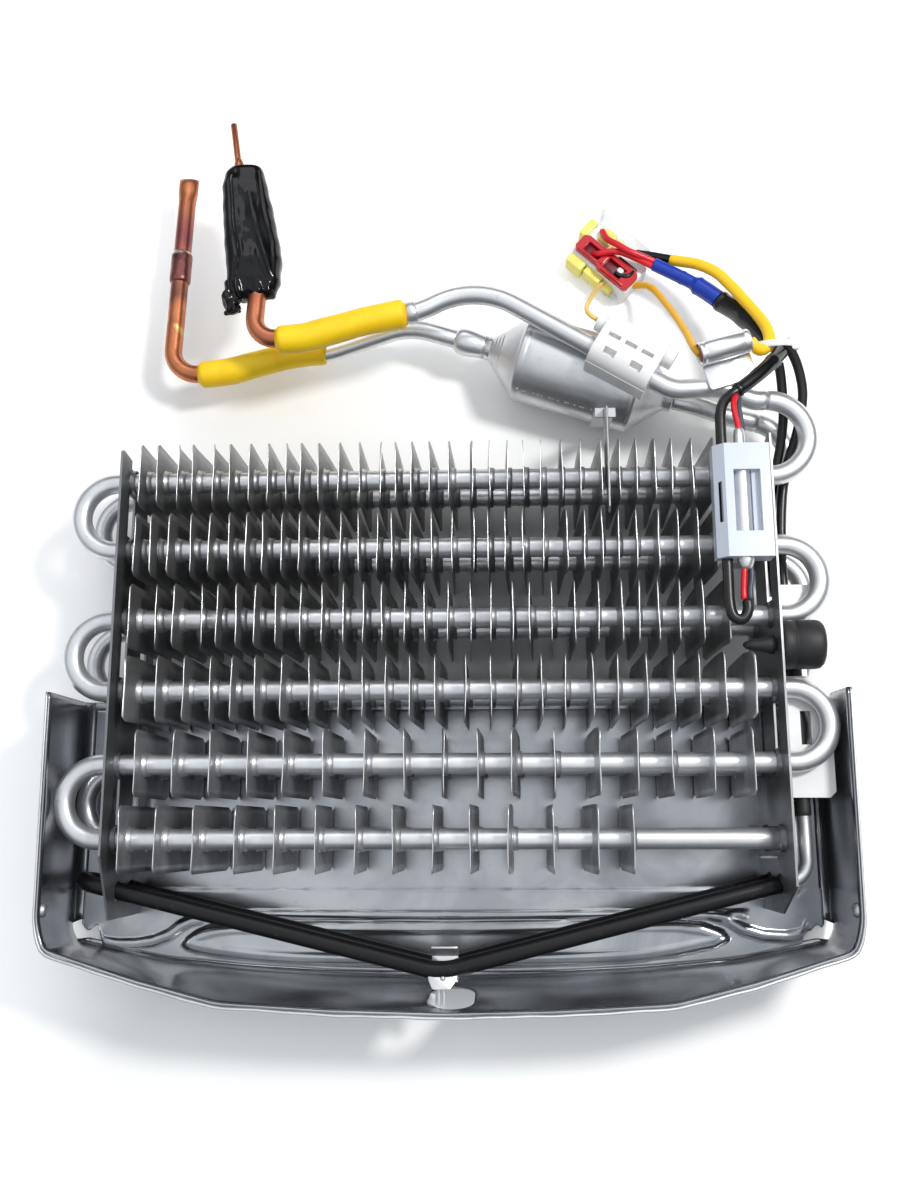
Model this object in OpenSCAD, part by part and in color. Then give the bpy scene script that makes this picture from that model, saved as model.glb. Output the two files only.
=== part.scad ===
// Refrigerator evaporator coil with drip tray, defrost heater, accumulator and wiring.
// The coil lies on its back: X runs along the tubes, Y up the coil, Z from back to front.

/* [Coil] */
// Distance between the two end plates
plate_gap = 256; // [246:2:276]
// Distance from one row of tubes to the next
row_pitch = 28.5; // [27:0.5:31]
// Outside diameter of the coil tube
tube_d = 8; // [7:0.5:8.5]
// Distance from the rear tubes to the front tubes
bank_gap = 25; // [24:0.5:27]
// Depth of one fin from back to front
fin_depth = 52; // [51:1:56]
// Height of one fin
fin_height = 25.5; // [23:0.5:26.5]
// Thickness of one fin
fin_t = 0.3; // [0.2:0.05:0.5]
// Thickness of an end plate
plate_t = 0.9; // [0.8:0.1:1.5]

/* [Tray] */
// Height of the tray walls above the tray back
tray_depth = 50; // [44:1:54]
// Gap between the tube bends and the side walls of the tray
tray_gap = 3.75; // [3:0.25:10]
// Sheet thickness of the tray
tray_t = 0.8; // [0.6:0.1:1]

/* [Refrigerant parts] */
// Diameter of the accumulator body
accumulator_d = 37.5; // [34:0.5:38]
// Diameter of the foam sleeves on the two lines
sleeve_d = 10.4; // [9.6:0.2:12]
// Outside diameter of the copper ends
copper_d = 7.6; // [6.5:0.1:8]

/* [Heater] */
// Diameter of the heater rod
heater_d = 6.6; // [6:0.2:7.4]

/* [Hidden] */
$fn = 96;

rows = 6;
hx = plate_gap / 2;
top_y = (rows - 1) * row_pitch;
z_mid = tray_t + 0.2 + fin_depth / 2;
z_rear = z_mid - bank_gap / 2;
z_front = z_mid + bank_gap / 2;
fin_z0 = z_mid - fin_depth / 2;
fin_z1 = z_mid + fin_depth / 2;
plate_z0 = tray_t + 0.1;
plate_z1 = fin_z1 + 1;
hole_d = tube_d + 1;
// Ends of the straight tubes, where the bends begin
bend_x = hx + 5.5;
cross_x = hx - 12;
// How far the upper right corner of the coil has moved from its drawn place
dx = hx - 128;
dy = top_y - 142.5;
dz = z_front - 39.5;

FIN_N = [32, 32, 29, 25, 17, 14];
FIN_FIRST = [-121.5, -121.5, -121, -120, -117.5, -122];
FIN_LAST = [105.5, 105.5, 108, 116, 115.5, 70];

// Straight lengths reach into the bends by lap and are thinner than them by step
lap = 0.4;
step = 0.08;

function row_y(i) = (rows - i) * row_pitch;
function unit(v) = v / norm(v);
function turn(a, b) = acos(max(-1, min(1, unit(a) * unit(b))));

// Round bar between two points
module bar(a, b, d) {
    v = b - a;
    translate(a)
        rotate([0, acos(v[2] / norm(v)), atan2(v[1], v[0])])
            cylinder(h = norm(v), d = d);
}

// Bend of radius r where direction u turns into direction w at corner c
module bend(c, u, w, r, d) {
    t = r * tan(turn(u, w) / 2);
    start = c - unit(u) * t;
    side = unit(cross(cross(unit(u), unit(w)), unit(u)));
    mid = start + side * r;
    a = -side;
    b = unit(u);
    n = cross(a, b);
    translate(mid)
        rotate([atan2(b[2], n[2]), -asin(max(-1, min(1, a[2]))), atan2(a[1], a[0])])
            rotate_extrude(angle = turn(u, w))
                translate([r, 0])
                    circle(d = d);
}

// Tube of diameter d along a list of corners with bend radius r at each
module pipe(p, r, d) {
    n = len(p) - 1;
    t = [for (i = [0:n]) (i == 0 || i == n) ? 0
        : r[i] * tan(turn(p[i] - p[i - 1], p[i + 1] - p[i]) / 2) - lap];
    for (i = [0:n - 1]) {
        u = unit(p[i + 1] - p[i]);
        bar(p[i] + u * t[i], p[i + 1] - u * t[i + 1], d - step);
    }
    for (i = [1:1:n - 1])
        bend(p[i], p[i] - p[i - 1], p[i + 1] - p[i], r[i], d);
}

// Cable swept along its route with sides flats, diameter da at the start and db at the end
function frame_n(p, i) = let (
        n = len(p) - 1,
        a = p[max(0, i - 1)],
        b = p[min(n, i + 1)])
    unit(b - a);
function side_n(p, i) = i == 0
    ? unit(cross(frame_n(p, 0), abs(frame_n(p, 0)[2]) < 0.9 ? [0, 0, 1] : [1, 0, 0]))
    : let (s = side_n(p, i - 1), t = frame_n(p, i)) unit(s - t * (s * t));
module cable(p, da, db, sides) {
    n = len(p);
    pts = [for (i = [0:n - 1]) let (
            t = frame_n(p, i),
            s = side_n(p, i),
            b = cross(t, s),
            d = da + (db - da) * i / (n - 1))
        for (k = [0:sides - 1])
            p[i] + (s * cos(360 * k / sides) + b * sin(360 * k / sides)) * d / 2];
    faces = concat(
        [[for (k = [0:sides - 1]) k]],
        [[for (k = [sides - 1:-1:0]) (n - 1) * sides + k]],
        [for (i = [0:n - 2]) for (k = [0:sides - 1])
            [i * sides + k, (i + 1) * sides + k, (i + 1) * sides + (k + 1) % sides]],
        [for (i = [0:n - 2]) for (k = [0:sides - 1])
            [i * sides + k, (i + 1) * sides + (k + 1) % sides, i * sides + (k + 1) % sides]]);
    polyhedron(pts, faces, convexity = 8);
}

// Flat sheet drawn in the side view, first across the depth and then up the coil
module side_sheet(p, t) {
    rotate([0, -90, 0])
        translate([0, 0, -t / 2])
            linear_extrude(t)
                polygon(p);
}

// Parts at the upper right corner follow that corner of the coil
module upper_right() {
    translate([dx, dy, dz])
        children();
}

// Tray
tray_hx = bend_x + row_pitch / 2 + tube_d / 2 + tray_gap;
// Outline of the tray walls from the left top round to the right top
TRAY_BACK = [[-1, 57], [-1, -37], [-0.975, -43], [-0.74, -50], [-0.52, -53], [-0.3, -55],
    [0, -56], [0.3, -55], [0.52, -53], [0.74, -50], [0.975, -43], [1, -37], [1, 57]];
TRAY_FRONT = [[-0.99, 56], [-0.985, -30], [-0.965, -41], [-0.74, -52], [-0.54, -60],
    [-0.27, -62.5], [0, -63.5], [0.27, -62.5], [0.54, -60], [0.74, -52], [0.965, -41],
    [0.985, -30], [0.99, 56]];

function tray_pt(i, f) = let (
        a = TRAY_BACK[i],
        b = TRAY_FRONT[i])
    [tray_hx * (a[0] + (b[0] - a[0]) * f), a[1] + (b[1] - a[1]) * f];
function tray_out(i) = let (
        n = len(TRAY_BACK) - 1,
        a = tray_pt(max(0, i - 1), 0.5),
        b = tray_pt(min(n, i + 1), 0.5),
        v = unit(b - a))
    [v[1], -v[0]];

// Tray sheet with its walls and the rolled edge along their front, as one closed skin
module tray_shell() {
    n = len(TRAY_BACK);
    hem = 1 - 2.4 / tray_depth;
    // each row is how far up the wall a point lies, how far out, and its height
    prof = [[0, 0, 0], [hem, 0, tray_depth * hem], [hem, 0.9, tray_depth * hem],
        [1, 0.9, tray_depth], [1, -tray_t, tray_depth], [0, -tray_t, tray_t]];
    m = len(prof);
    pts = [for (i = [0:n - 1]) for (q = prof) let (
            o = tray_out(i),
            a = tray_pt(i, q[0]))
        [a[0] + o[0] * q[1], a[1] + o[1] * q[1], q[2]]];
    faces = concat(
        [[for (k = [m - 1:-1:0]) k]],
        [[for (k = [0:m - 1]) (n - 1) * m + k]],
        [for (i = [0:n - 2]) for (k = [0:m - 2])
            [m * i + k, m * i + k + 1, m * i + m + k]],
        [for (i = [0:n - 2]) for (k = [0:m - 2])
            [m * i + k + 1, m * i + m + k + 1, m * i + m + k]],
        [[for (i = [0:n - 1]) m * i]],
        [[for (i = [n - 1:-1:0]) m * i + m - 1]],
        [[0, m * (n - 1), m * n - 1, m - 1]]);
    polyhedron(pts, faces, convexity = 6);
}

// Half height of the pressed drainage panel at a place along the tray
function press(x) = 12.5 * pow(max(0, 1 - pow(abs(x) / 100, 2.6)), 0.6);

// Middle line of the S shaped bead beside the pressed panel
function s_bead(x) = -35 + 4 * cos((x - 96) * 4.6);

module drip_tray() {
    color([0.72, 0.74, 0.77])
    difference() {
        union() {
            tray_shell();
            // stiffening bead of the back
            translate([-92, -32.5, 0])
                cube([184, 3, tray_t + 1]);
            // pressed panel that leads the water to the drain
            linear_extrude(tray_t + 1)
                polygon(concat(
                    [for (x = [-98:4:98]) [x, -42 + press(x) * 0.62]],
                    [for (x = [98:-4:-98]) [x, -42 - press(x) * 0.75]]));
            // S shaped beads beside the pressed panel
            for (s = [0, 1])
                mirror([s, 0, 0])
                    linear_extrude(tray_t + 0.8)
                        polygon(concat(
                            [for (x = [101:3:134]) [x, s_bead(x) + 1.4]],
                            [for (x = [134:-3:101]) [x, s_bead(x) - 1.4]]));
        }
        // drain opening in the lower wall
        translate([2.3, -50, tray_depth * 0.5])
            rotate([90, 0, 0])
                cylinder(h = 20, d = 18.5);
        translate([2.3, -50, tray_depth * 0.7])
            rotate([90, 0, 0])
                cylinder(h = 20, d = 18.5);
        translate([-6.95, -70, tray_depth * 0.5])
            cube([18.5, 20, tray_depth * 0.2]);
        // corner reliefs
        for (s = [-1, 1])
            translate([s * (tray_hx - 6), -38.5, -1])
                cylinder(h = 9, d = 11);
        // level the beads with the rest face of the tray
        translate([-200, -100, -10])
            cube([400, 200, 10]);
    }
}

module tray_rivets() {
    color([0.8, 0.8, 0.82])
    for (s = [-1, 1])
        translate([s * (tray_hx * 0.985 - 0.45), -26, tray_depth * 0.86])
            rotate([0, -s * 90, 0]) {
                cylinder(h = 1.3, d = 5.6);
                translate([0, 0, 1])
                    cylinder(h = 1.5, d = 2.8);
            }
}

// End plates
module plate_holes(x, ends) {
    for (i = [1:rows])
        for (z = [z_rear, z_front])
            translate([x - 4, row_y(i), z])
                rotate([0, 90, 0])
                    cylinder(h = 8, d = hole_d);
    for (i = ends)
        for (z = [z_rear, z_front])
            translate([x - 4, row_y(i + 1) + hole_d / 2 + 1, z - 3.8])
                cube([8, row_pitch - hole_d - 2, 7.6]);
    for (z = [z_rear - 0.5, z_front - 8.5])
        translate([x - 2, x < 0 ? -19.6 : -17.0, z])
            rotate([0, 90, 0])
                cylinder(h = 4, d = heater_d + 1.2);
}

module plate_collars(x, dir) {
    for (i = [1:rows])
        for (z = [z_rear, z_front])
            translate([x, row_y(i), z])
                rotate([0, dir * 90, 0])
                    cylinder(h = 2.2, d = hole_d + 1.4);
}

module left_end_plate() {
    z1 = plate_z1;
    color([0.7, 0.7, 0.72])
    difference() {
        union() {
            translate([-hx, 0, 0])
                side_sheet([[plate_z0, -30], [z1 - 14, -30], [z1, -6], [z1, top_y + 9],
                    [z1 - 1.5, top_y + 10], [z1 - 12, top_y + 9], [z1 - 12, top_y + 5.5],
                    [0, top_y + 5.5], [0, 57.5], [plate_z0, 57.5]], plate_t);
            plate_collars(-hx, 1);
        }
        plate_holes(-hx, [1, 3, 5]);
    }
}

module right_end_plate() {
    z1 = plate_z1;
    color([0.7, 0.7, 0.72])
    difference() {
        union() {
            translate([hx, 0, 0])
                side_sheet([[plate_z0, -28], [z1 - 22, -28], [z1, -17], [z1, top_y + 13],
                    [z1 - 2, top_y + 14], [z1 - 10, top_y + 11], [z1 - 10, top_y + 5.5],
                    [0, top_y + 5.5], [0, 57.5], [plate_z0, 57.5]], plate_t);
            plate_collars(hx, -1);
            // small support tab below the lowest tube
            translate([hx - 7, -7.6, 20])
                cube([7, 1, 9]);
        }
        plate_holes(hx, [2, 4]);
        // opening for the bend that joins the front tubes to the rear tubes
        translate([hx - 4, -hole_d / 2, z_rear])
            cube([8, hole_d, bank_gap]);
        // hole for the buffer stem
        translate([hx - 4, 2.5 * row_pitch + 1.6, z_front + 6])
            rotate([0, 90, 0])
                cylinder(h = 8, d = 3.8);
    }
}

// Fins
// Turn of each fin about its height and turn of its front strip
function lean(i, j) = 2.2 * sin(j * 57 + i * 83) - 1.2;
function curl(i, j) = (i == 1 && (j == 2 || j == 4)) ? 10
    : (i == 3 && (j == 1 || j == 3)) ? 12
    : (i == 4 && j == 24) ? 16
    : (i == 4 && j == 0) ? -9
    : (i >= 5 && j > 9) ? 7 * sin(j * 97)
    : (j % 5 == 3) ? 5
    : 0;

module fin_sheet(z0, z1, r0, r1) {
    h = fin_height / 2;
    side_sheet([[z0, r0 - h], [z0 + r0, -h], [z1 - r1, -h], [z1, r1 - h],
        [z1, h - r1], [z1 - r1, h], [z0 + r0, h], [z0, h - r0]], fin_t);
}

// Fin sheet with its front strip turned by c degrees about the fold
module bent_sheet(z0, fold, z1, c) {
    w = fin_t / 2;
    x1 = (z1 - fold) * sin(c);
    z2 = fold + (z1 - fold) * cos(c);
    rotate([90, 0, 0])
        translate([0, 0, -fin_height / 2])
            linear_extrude(fin_height)
                polygon([[-w, z0], [w, z0], [w, fold], [x1 + w, z2], [x1 - w, z2],
                    [-w, fold]]);
}

module fin(x, y, a, c) {
    bank = bank_gap / 2;
    edge = fin_depth / 2;
    fold = bank + tube_d / 2 + 1.5;
    shift = sin(a) * bank;
    translate([x, y, z_mid])
        difference() {
            union() {
                rotate([0, a, 0])
                    if (c == 0)
                        fin_sheet(-edge, edge, 2, 2);
                    else
                        bent_sheet(-edge, fold, edge, c);
                for (s = [-1, 1])
                    translate([s * shift, 0, s * bank])
                        rotate([0, 90, 0])
                            cylinder(h = 2.4, d = tube_d + 1.1);
            }
            for (s = [-1, 1])
                translate([-6, 0, s * bank])
                    rotate([0, 90, 0])
                        cylinder(h = 12, d = tube_d + 0.1);
        }
}

module fins(i) {
    n = FIN_N[i - 1];
    x0 = FIN_FIRST[i - 1] - dx;
    x1 = FIN_LAST[i - 1] + dx;
    color([0.78, 0.78, 0.78])
    for (j = [0:n - 1])
        fin(x0 + (x1 - x0) * j / (n - 1), row_y(i), lean(i, j), curl(i, j));
}

module fins_row_1() { fins(1); }
module fins_row_2() { fins(2); }
module fins_row_3() { fins(3); }
module fins_row_4() { fins(4); }
module fins_row_5() { fins(5); }
module fins_row_6() { fins(6); }

// Coil tubes
// Half turn of tube in the XY plane, open towards the left
module half_turn(r, d) {
    rotate([0, 0, -90])
        rotate_extrude(angle = 180)
            translate([r, 0])
                circle(d = d);
}

top_r = 16;
core_d = tube_d - step;

// One bank of tubes up to the right end of the top row
module bank(z, low_x, top_x) {
    for (i = [1:rows])
        bar([-bend_x - lap, row_y(i), z],
            [(i == rows ? low_x : i == 1 ? top_x : bend_x) + lap, row_y(i), z], core_d);
    for (i = [1, 3, 5])
        translate([-bend_x, row_y(i) - row_pitch / 2, z])
            mirror([1, 0, 0])
                half_turn(row_pitch / 2, tube_d);
    for (i = [2, 4])
        translate([bend_x, row_y(i) - row_pitch / 2, z])
            half_turn(row_pitch / 2, tube_d);
}

module front_coil_tube() {
    color([0.8, 0.81, 0.84]) {
        bank(z_front, cross_x, dx + 130.9);
        // bend that joins the front tubes to the rear tubes
        translate([cross_x, 0, z_mid])
            rotate([90, 0, 0])
                half_turn(bank_gap / 2, tube_d);
        translate([dx + 130.9, top_y + top_r, z_front])
            half_turn(top_r, tube_d);
    }
}

module rear_coil_tube() {
    color([0.78, 0.79, 0.82]) {
        bank(z_rear, cross_x - lap - 0.1, dx + 128.8);
        translate([dx + 128.8, top_y + top_r, z_rear])
            rotate([0, 0, -90])
                rotate_extrude(angle = 165.6)
                    translate([top_r, 0])
                        circle(d = tube_d);
    }
}

// Lines above the coil, drawn for the upper right corner
IN_LINE = [[130.8, 174.5, 39.5], [126, 174.5, 39.5], [112, 179.3, 42], [92.5, 178.3, 43],
    [13.3, 226.2, 43], [-10, 215, 42], [-40, 209.4, 42]];
IN_BENDS = [0, 12, 14, 14, 14, 12, 0];
CU_BENDS = [0, 9, 14, 0];
CU_ELBOW = [[-40.1, 209.38, 42], [-80, 202, 42], [-78.4, 229, 41], [-80, 244, 40]];
LOW_LINE = [[9, 211.1, 19.3], [-16, 219, 19.3], [-50, 207.5, 19.3], [-82, 202.4, 19.3]];
CU_RISER = [[-82, 202.4, 19.3], [-120.3, 196.4, 19.3], [-116.4, 287, 19.3]];
ACC_A = [18.1, 208.2, 19.3];
ACC_ANGLE = -17.65;

module inlet_pipe() {
    color([0.76, 0.77, 0.8])
    upper_right()
        pipe(IN_LINE, IN_BENDS, tube_d);
}

module joint_collar() {
    a = [-11.6, 214.7, 42];
    b = [-15.5, 213.97, 42];
    color([0.7, 0.7, 0.73])
    upper_right()
        difference() {
            bar(a, b, tube_d + 1.4);
            bar(a * 2 - b, b * 2 - a, tube_d + 0.1);
        }
}

module outlet_pipe() {
    a = [97, 183.1, 19.2];
    b = [132.5, 174.05, z_rear - dz];
    color([0.76, 0.77, 0.8])
    upper_right()
        bar(a, b, tube_d);
}

module accumulator() {
    r = accumulator_d / 2;
    color([0.8, 0.81, 0.84])
    upper_right()
        translate(ACC_A)
            rotate([0, 90, ACC_ANGLE])
                rotate_extrude()
                    polygon([[0, -1], [5, -1], [5, 1.5], [r - 1.2, 14.6], [r - 0.3, 15.4],
                        [r, 16.4], [r, 65.6], [r - 0.3, 66.6], [r - 1.2, 67.4], [6, 78.5],
                        [5.4, 80], [5.4, 82.5], [0, 82.5]]);
}

module suction_pipe() {
    color([0.76, 0.77, 0.8])
    upper_right() {
        pipe(LOW_LINE, [0, 30, 30, 0], tube_d);
        // swelled end that is brazed to the accumulator
        translate(ACC_A)
            rotate([0, 90, ACC_ANGLE])
                rotate_extrude()
                    polygon([[0, -9.9], [4.3, -9.9], [5.3, -8.8], [5.7, -7], [5.4, -5.4],
                        [4.6, -4.4], [4.5, -1.05], [0, -1.05]]);
    }
}

module accumulator_strap() {
    color([0.75, 0.76, 0.78])
    upper_right() {
        translate([65, 0, 0])
            side_sheet([[19, 172.4], [34, 170.2], [45.5, 170.2], [45.5, 166], [44.5, 166],
                [44.5, 169.2], [34, 169.2], [19, 171.4]], 8.5);
        translate([64.6, 0, 0])
            side_sheet([[43.9, 170], [56, 167], [56, 126], [53, 124], [50.5, 134],
                [43.9, 139]], 0.8);
    }
}

module sleeve_on(a, b, bore) {
    difference() {
        bar(a, b, sleeve_d);
        bar(a * 2 - b, b * 2 - a, bore);
    }
}

module upper_sleeve() {
    color([1, 0.82, 0.08])
    upper_right()
        sleeve_on([-15.6, 213.95, 42], [-69, 203.99, 42], tube_d + 0.1);
}

module lower_sleeve() {
    color([1, 0.82, 0.08])
    upper_right()
        sleeve_on([-54.5, 206.79, 19.3], [-107.9, 198.36, 19.3], tube_d + 0.1);
}

module inlet_copper_elbow() {
    color([0.72, 0.42, 0.25])
    upper_right()
        pipe(CU_ELBOW, CU_BENDS, copper_d);
}

module suction_copper_riser() {
    color([0.72, 0.42, 0.25])
    upper_right() {
        pipe(CU_RISER, [0, 11, 0], copper_d);
        translate([-116.3, 289.2, 19.3])
            rotate([0, 0, -2.5])
                cube([8.6, 7, 4.4], center = true);
    }
}

module suction_coupling() {
    color([0.45, 0.25, 0.2])
    upper_right()
        difference() {
            bar([-118.35, 241.5, 19.3], [-117.75, 255.5, 19.3], copper_d + 1.6);
            bar([-119.25, 220.5, 19.3], [-116.85, 276.5, 19.3], copper_d + 0.1);
        }
}

module capillary_tube() {
    color([0.7, 0.4, 0.25])
    upper_right()
        pipe([[-85.5, 262, 40], [-88.5, 283, 41], [-91.6, 304.5, 41]], [0, 20, 0], 2.8);
}

module sealing_tape() {
    color([0.07, 0.07, 0.08])
    upper_right()
        difference() {
            translate([0, 0, 34])
                linear_extrude(13)
                    polygon([[-85, 283], [-77, 278.5], [-72.6, 260], [-68.6, 243],
                        [-69.8, 226], [-74.5, 224], [-81.3, 226.5], [-87.3, 216.5],
                        [-90.8, 220], [-90.2, 227], [-92.6, 240], [-95.4, 274]]);
            pipe(CU_ELBOW, CU_BENDS, copper_d + 0.13);
            pipe([[-85.5, 262, 40], [-88.5, 283, 41], [-91.6, 304.5, 41]],
                [0, 20, 0], 2.93);
        }
}

// Parts clipped on the coil
module fuse_clip() {
    color([0.94, 0.94, 0.93])
    upper_right()
        difference() {
            translate([74.8, 192.6, 0])
                rotate([0, 0, -31.2])
                    difference() {
                        union() {
                            translate([-13.4, -11.7, 38.8])
                                cube([26.8, 23.4, 9]);
                            translate([-13.4, 4.2, 46])
                                rotate([0, 90, 0])
                                    cylinder(h = 26.8, r = 7.5);
                            translate([-13.4, -4.2, 46])
                                rotate([0, 90, 0])
                                    cylinder(h = 26.8, r = 7.5);
                            translate([-13.4, -4.2, 46])
                                cube([26.8, 8.4, 7.5]);
                            translate([-17.5, 6.5, 47])
                                rotate([0, 90, 0])
                                    cylinder(h = 35, d = 8.4);
                        }
                        // slots in the front face
                        for (x = [-7.5, 0, 7.5])
                            translate([x - 2.6, 0.2, 51])
                                cube([5.2, 1.8, 4]);
                        for (x = [-6, 6])
                            translate([x - 2.6, -7.4, 50])
                                cube([5.2, 3, 5]);
                    }
            pipe(IN_LINE, IN_BENDS, tube_d + 0.13);
        }
}

module thermostat_sheath() {
    color([0.78, 0.79, 0.82])
    upper_right()
        translate([112.5, 192.5, 51.5])
            rotate([0, 0, 16])
                difference() {
                    union() {
                        translate([-10.5, 0, 0])
                            rotate([0, 90, 0])
                                cylinder(h = 21, d = 9.6);
                        // flat tail that lies on the inlet pipe
                        translate([-9.5, -14.5, -4.8])
                            cube([20, 15, 1]);
                    }
                    translate([-12, 0, 0])
                        rotate([0, 90, 0])
                            cylinder(h = 24, d = 8);
                }
}

module thermostat_body() {
    color([0.45, 0.16, 0.1])
    upper_right()
        translate([112.5, 192.5, 51.5])
            rotate([0, 0, 16])
                translate([-9.6, 0, 0])
                    rotate([0, 90, 0])
                        cylinder(h = 19.2, d = 7.8);
}

module sensor_holder() {
    color([0.87, 0.89, 0.93])
    upper_right()
        difference() {
            union() {
                translate([0, 148.4, 0])
                    rotate([90, 0, 0])
                        linear_extrude(44.6)
                            polygon([[104, 54.3], [104, 59.5], [107.8, 63.2], [125, 63.2],
                                [125, 54.3]]);
                // legs that reach back to the front tubes
                for (y = [142.5, 114])
                    translate([110.3, y - 5, 43.9 + (tube_d - 8) / 2])
                        cube([3, 10, 11]);
            }
            translate([114.9, 150, 58.6])
                rotate([90, 0, 0])
                    cylinder(h = 60, d = 6.6);
            translate([108.2, 150, 57.4])
                rotate([90, 0, 0])
                    cylinder(h = 60, d = 4.7);
            // window over the capsule and the recess beside it
            translate([111, 113.6, 58.5])
                cube([7.4, 24.3, 6]);
            translate([117.5, 113.6, 60.2])
                cube([3.6, 24.3, 4]);
            translate([105.5, 117.5, 57])
                cube([1.2, 16, 6]);
        }
}

module sensor_capsule() {
    color([0.78, 0.79, 0.82])
    upper_right()
        translate([114.9, 155.6, 58.6])
            rotate([90, 0, 0])
                difference() {
                    cylinder(h = 56, d = 6.5);
                    translate([0, 0, -0.1])
                        cylinder(h = 3, d = 5);
                    translate([0, 0, 53.1])
                        cylinder(h = 3, d = 5);
                }
}

RED_TOP = [[114.9, 153.2, 58.6], [114.6, 158, 58.5], [113.8, 162.5, 58.2], [113.9, 167, 57.2],
    [115.2, 170.6, 55.6]];
RED_LOW = [[114.3, 102.2, 58.8], [113.9, 97, 58.6], [113.5, 92, 58.4], [113.5, 88.1, 58.4]];
DARK_LOW = [[116.5, 102.2, 58.4], [116.9, 97, 58.2], [116, 92, 58.2], [116, 88.1, 58.2]];
DARK_TOP = [[116, 153.2, 58], [116.4, 158, 57.5], [115.8, 164, 57], [116.6, 169.6, 55.2]];

module sensor_red_wires() {
    color([0.8, 0.08, 0.12])
    upper_right() {
        cable(RED_TOP, 2.4, 2.4, 10);
        cable(RED_LOW, 2.4, 2.4, 10);
    }
    color([0.22, 0.26, 0.32])
    upper_right() {
        cable(DARK_LOW, 2.2, 2.2, 8);
        cable(DARK_TOP, 2.2, 2.2, 8);
    }
}

// Defrost heater
heat_z0 = z_rear - 0.5;
heat_z1 = z_front - 8.5;
heat_r = (heat_z1 - heat_z0) / 2;
HEAT_LEFT = [-hx - 7, -17.8];
HEAT_LOW = [-2, -49.4];
HEAT_RIGHT = [hx + 1.2, -16.7];
HEAT_UP = [hx + 10, -14.5];

function hp(p, z) = [p[0], p[1], z];
function heat_dir() = unit(HEAT_LEFT - HEAT_LOW);

module heater_rod() {
    color([0.06, 0.06, 0.07]) {
        for (z = [heat_z0, heat_z1])
            pipe([hp(HEAT_RIGHT, z), hp(HEAT_LOW, z), hp(HEAT_LEFT + heat_dir() * lap, z)],
                [0, 25, 0], heater_d);
        translate(hp(HEAT_LEFT, (heat_z0 + heat_z1) / 2))
            rotate([0, 0, atan2(heat_dir()[1], heat_dir()[0])])
                rotate([90, 0, 0])
                    half_turn(heat_r, heater_d);
    }
}

module heater_ends() {
    d = heater_d - 1.6;
    color([0.5, 0.51, 0.53])
    for (z = [heat_z0, heat_z1])
        pipe([hp(HEAT_RIGHT, z), hp(HEAT_UP, z), [hx + 10, 8, z]], [0, 8, 0], d);
}

module heater_end_sleeves() {
    d = heater_d - 1.1;
    x = hx + 10;
    color([0.05, 0.05, 0.06]) {
        bar([x, 8, heat_z0], [x, 14.5, heat_z0], d);
        bar([x, 8, heat_z1], [x, 66, heat_z1], d);
    }
}

module heater_clip() {
    z = heat_z1;
    r = heater_d / 2;
    color([0.75, 0.76, 0.78])
    difference() {
        union() {
            translate([-5.3, -53.2, z - r - 1.1])
                cube([10.6, 10.4, 1]);
            translate([-5.3, -43.6, z - r - 0.4])
                cube([10.6, 0.8, 8.5]);
            translate([-5.3, -53.2, z - r - 0.4])
                cube([10.6, 0.8, 7.5]);
            // stem hooked through the drain opening
            translate([-4.2, -64.6, z - 3])
                cube([2.4, 12, 2.4]);
            translate([-7.6, -65.6, z - 3])
                cube([5.8, 1, 2.4]);
        }
        pipe([hp(HEAT_RIGHT, z), hp(HEAT_LOW, z), hp(HEAT_LEFT, z)], [0, 25, 0],
            heater_d + 0.13);
    }
}

// Right side
module lead_cover() {
    z1 = heat_z1 + heater_d / 2 - 0.4;
    x = hx + 4;
    color([0.93, 0.93, 0.93])
    difference() {
        union() {
            translate([0, 0, z1])
                linear_extrude(1.3)
                    polygon([[x, 17], [x + 1.5, 15.2], [x + 15.5, 15.2], [x + 17.8, 17.5],
                        [x + 17.8, 60], [x + 16, 62], [x + 14.5, 64], [x + 14.5, 85],
                        [x + 18, 86.5], [x + 18, 98.6], [x, 98.6], [x, 86.5],
                        [x + 10, 85], [x + 10, 62], [x, 62]]);
            // rims that stand back beside the sleeves
            translate([x + 16.6, 17, z1 - 10])
                cube([1.2, 42, 10.5]);
            translate([x + 10, 15.2, z1 - 4])
                cube([6, 1, 4.5]);
            translate([x + 1, 97.6, z1 - 3])
                cube([16, 1, 3.5]);
            // legs that rest on the outside of the end plate
            for (y = [52, 89])
                translate([hx + plate_t / 2 + 0.1, y, z1 - 1.5])
                    cube([6, 5, 1.6]);
        }
        translate([x + 5.8, 35.4, z1 - 1])
            cube([4, 13, 4]);
    }
}

module rubber_buffer() {
    y = 2.5 * row_pitch + 1.6;
    z = z_front + 6;
    color([0.05, 0.05, 0.05])
    translate([hx, y, z])
        rotate([0, 90, 0]) {
            translate([0, 0, plate_t / 2 + 0.1])
                cylinder(h = 16.4, d = 19);
            translate([0, 0, -1.9])
                cylinder(h = 1.3, d = 5.6);
            translate([0, 0, -13])
                cylinder(h = 14, d = 3.4);
            translate([0, 0, -7.5])
                cylinder(h = 3.5, d = 4.8);
            translate([0, 0, -13])
                sphere(d = 4.2);
        }
}

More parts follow.
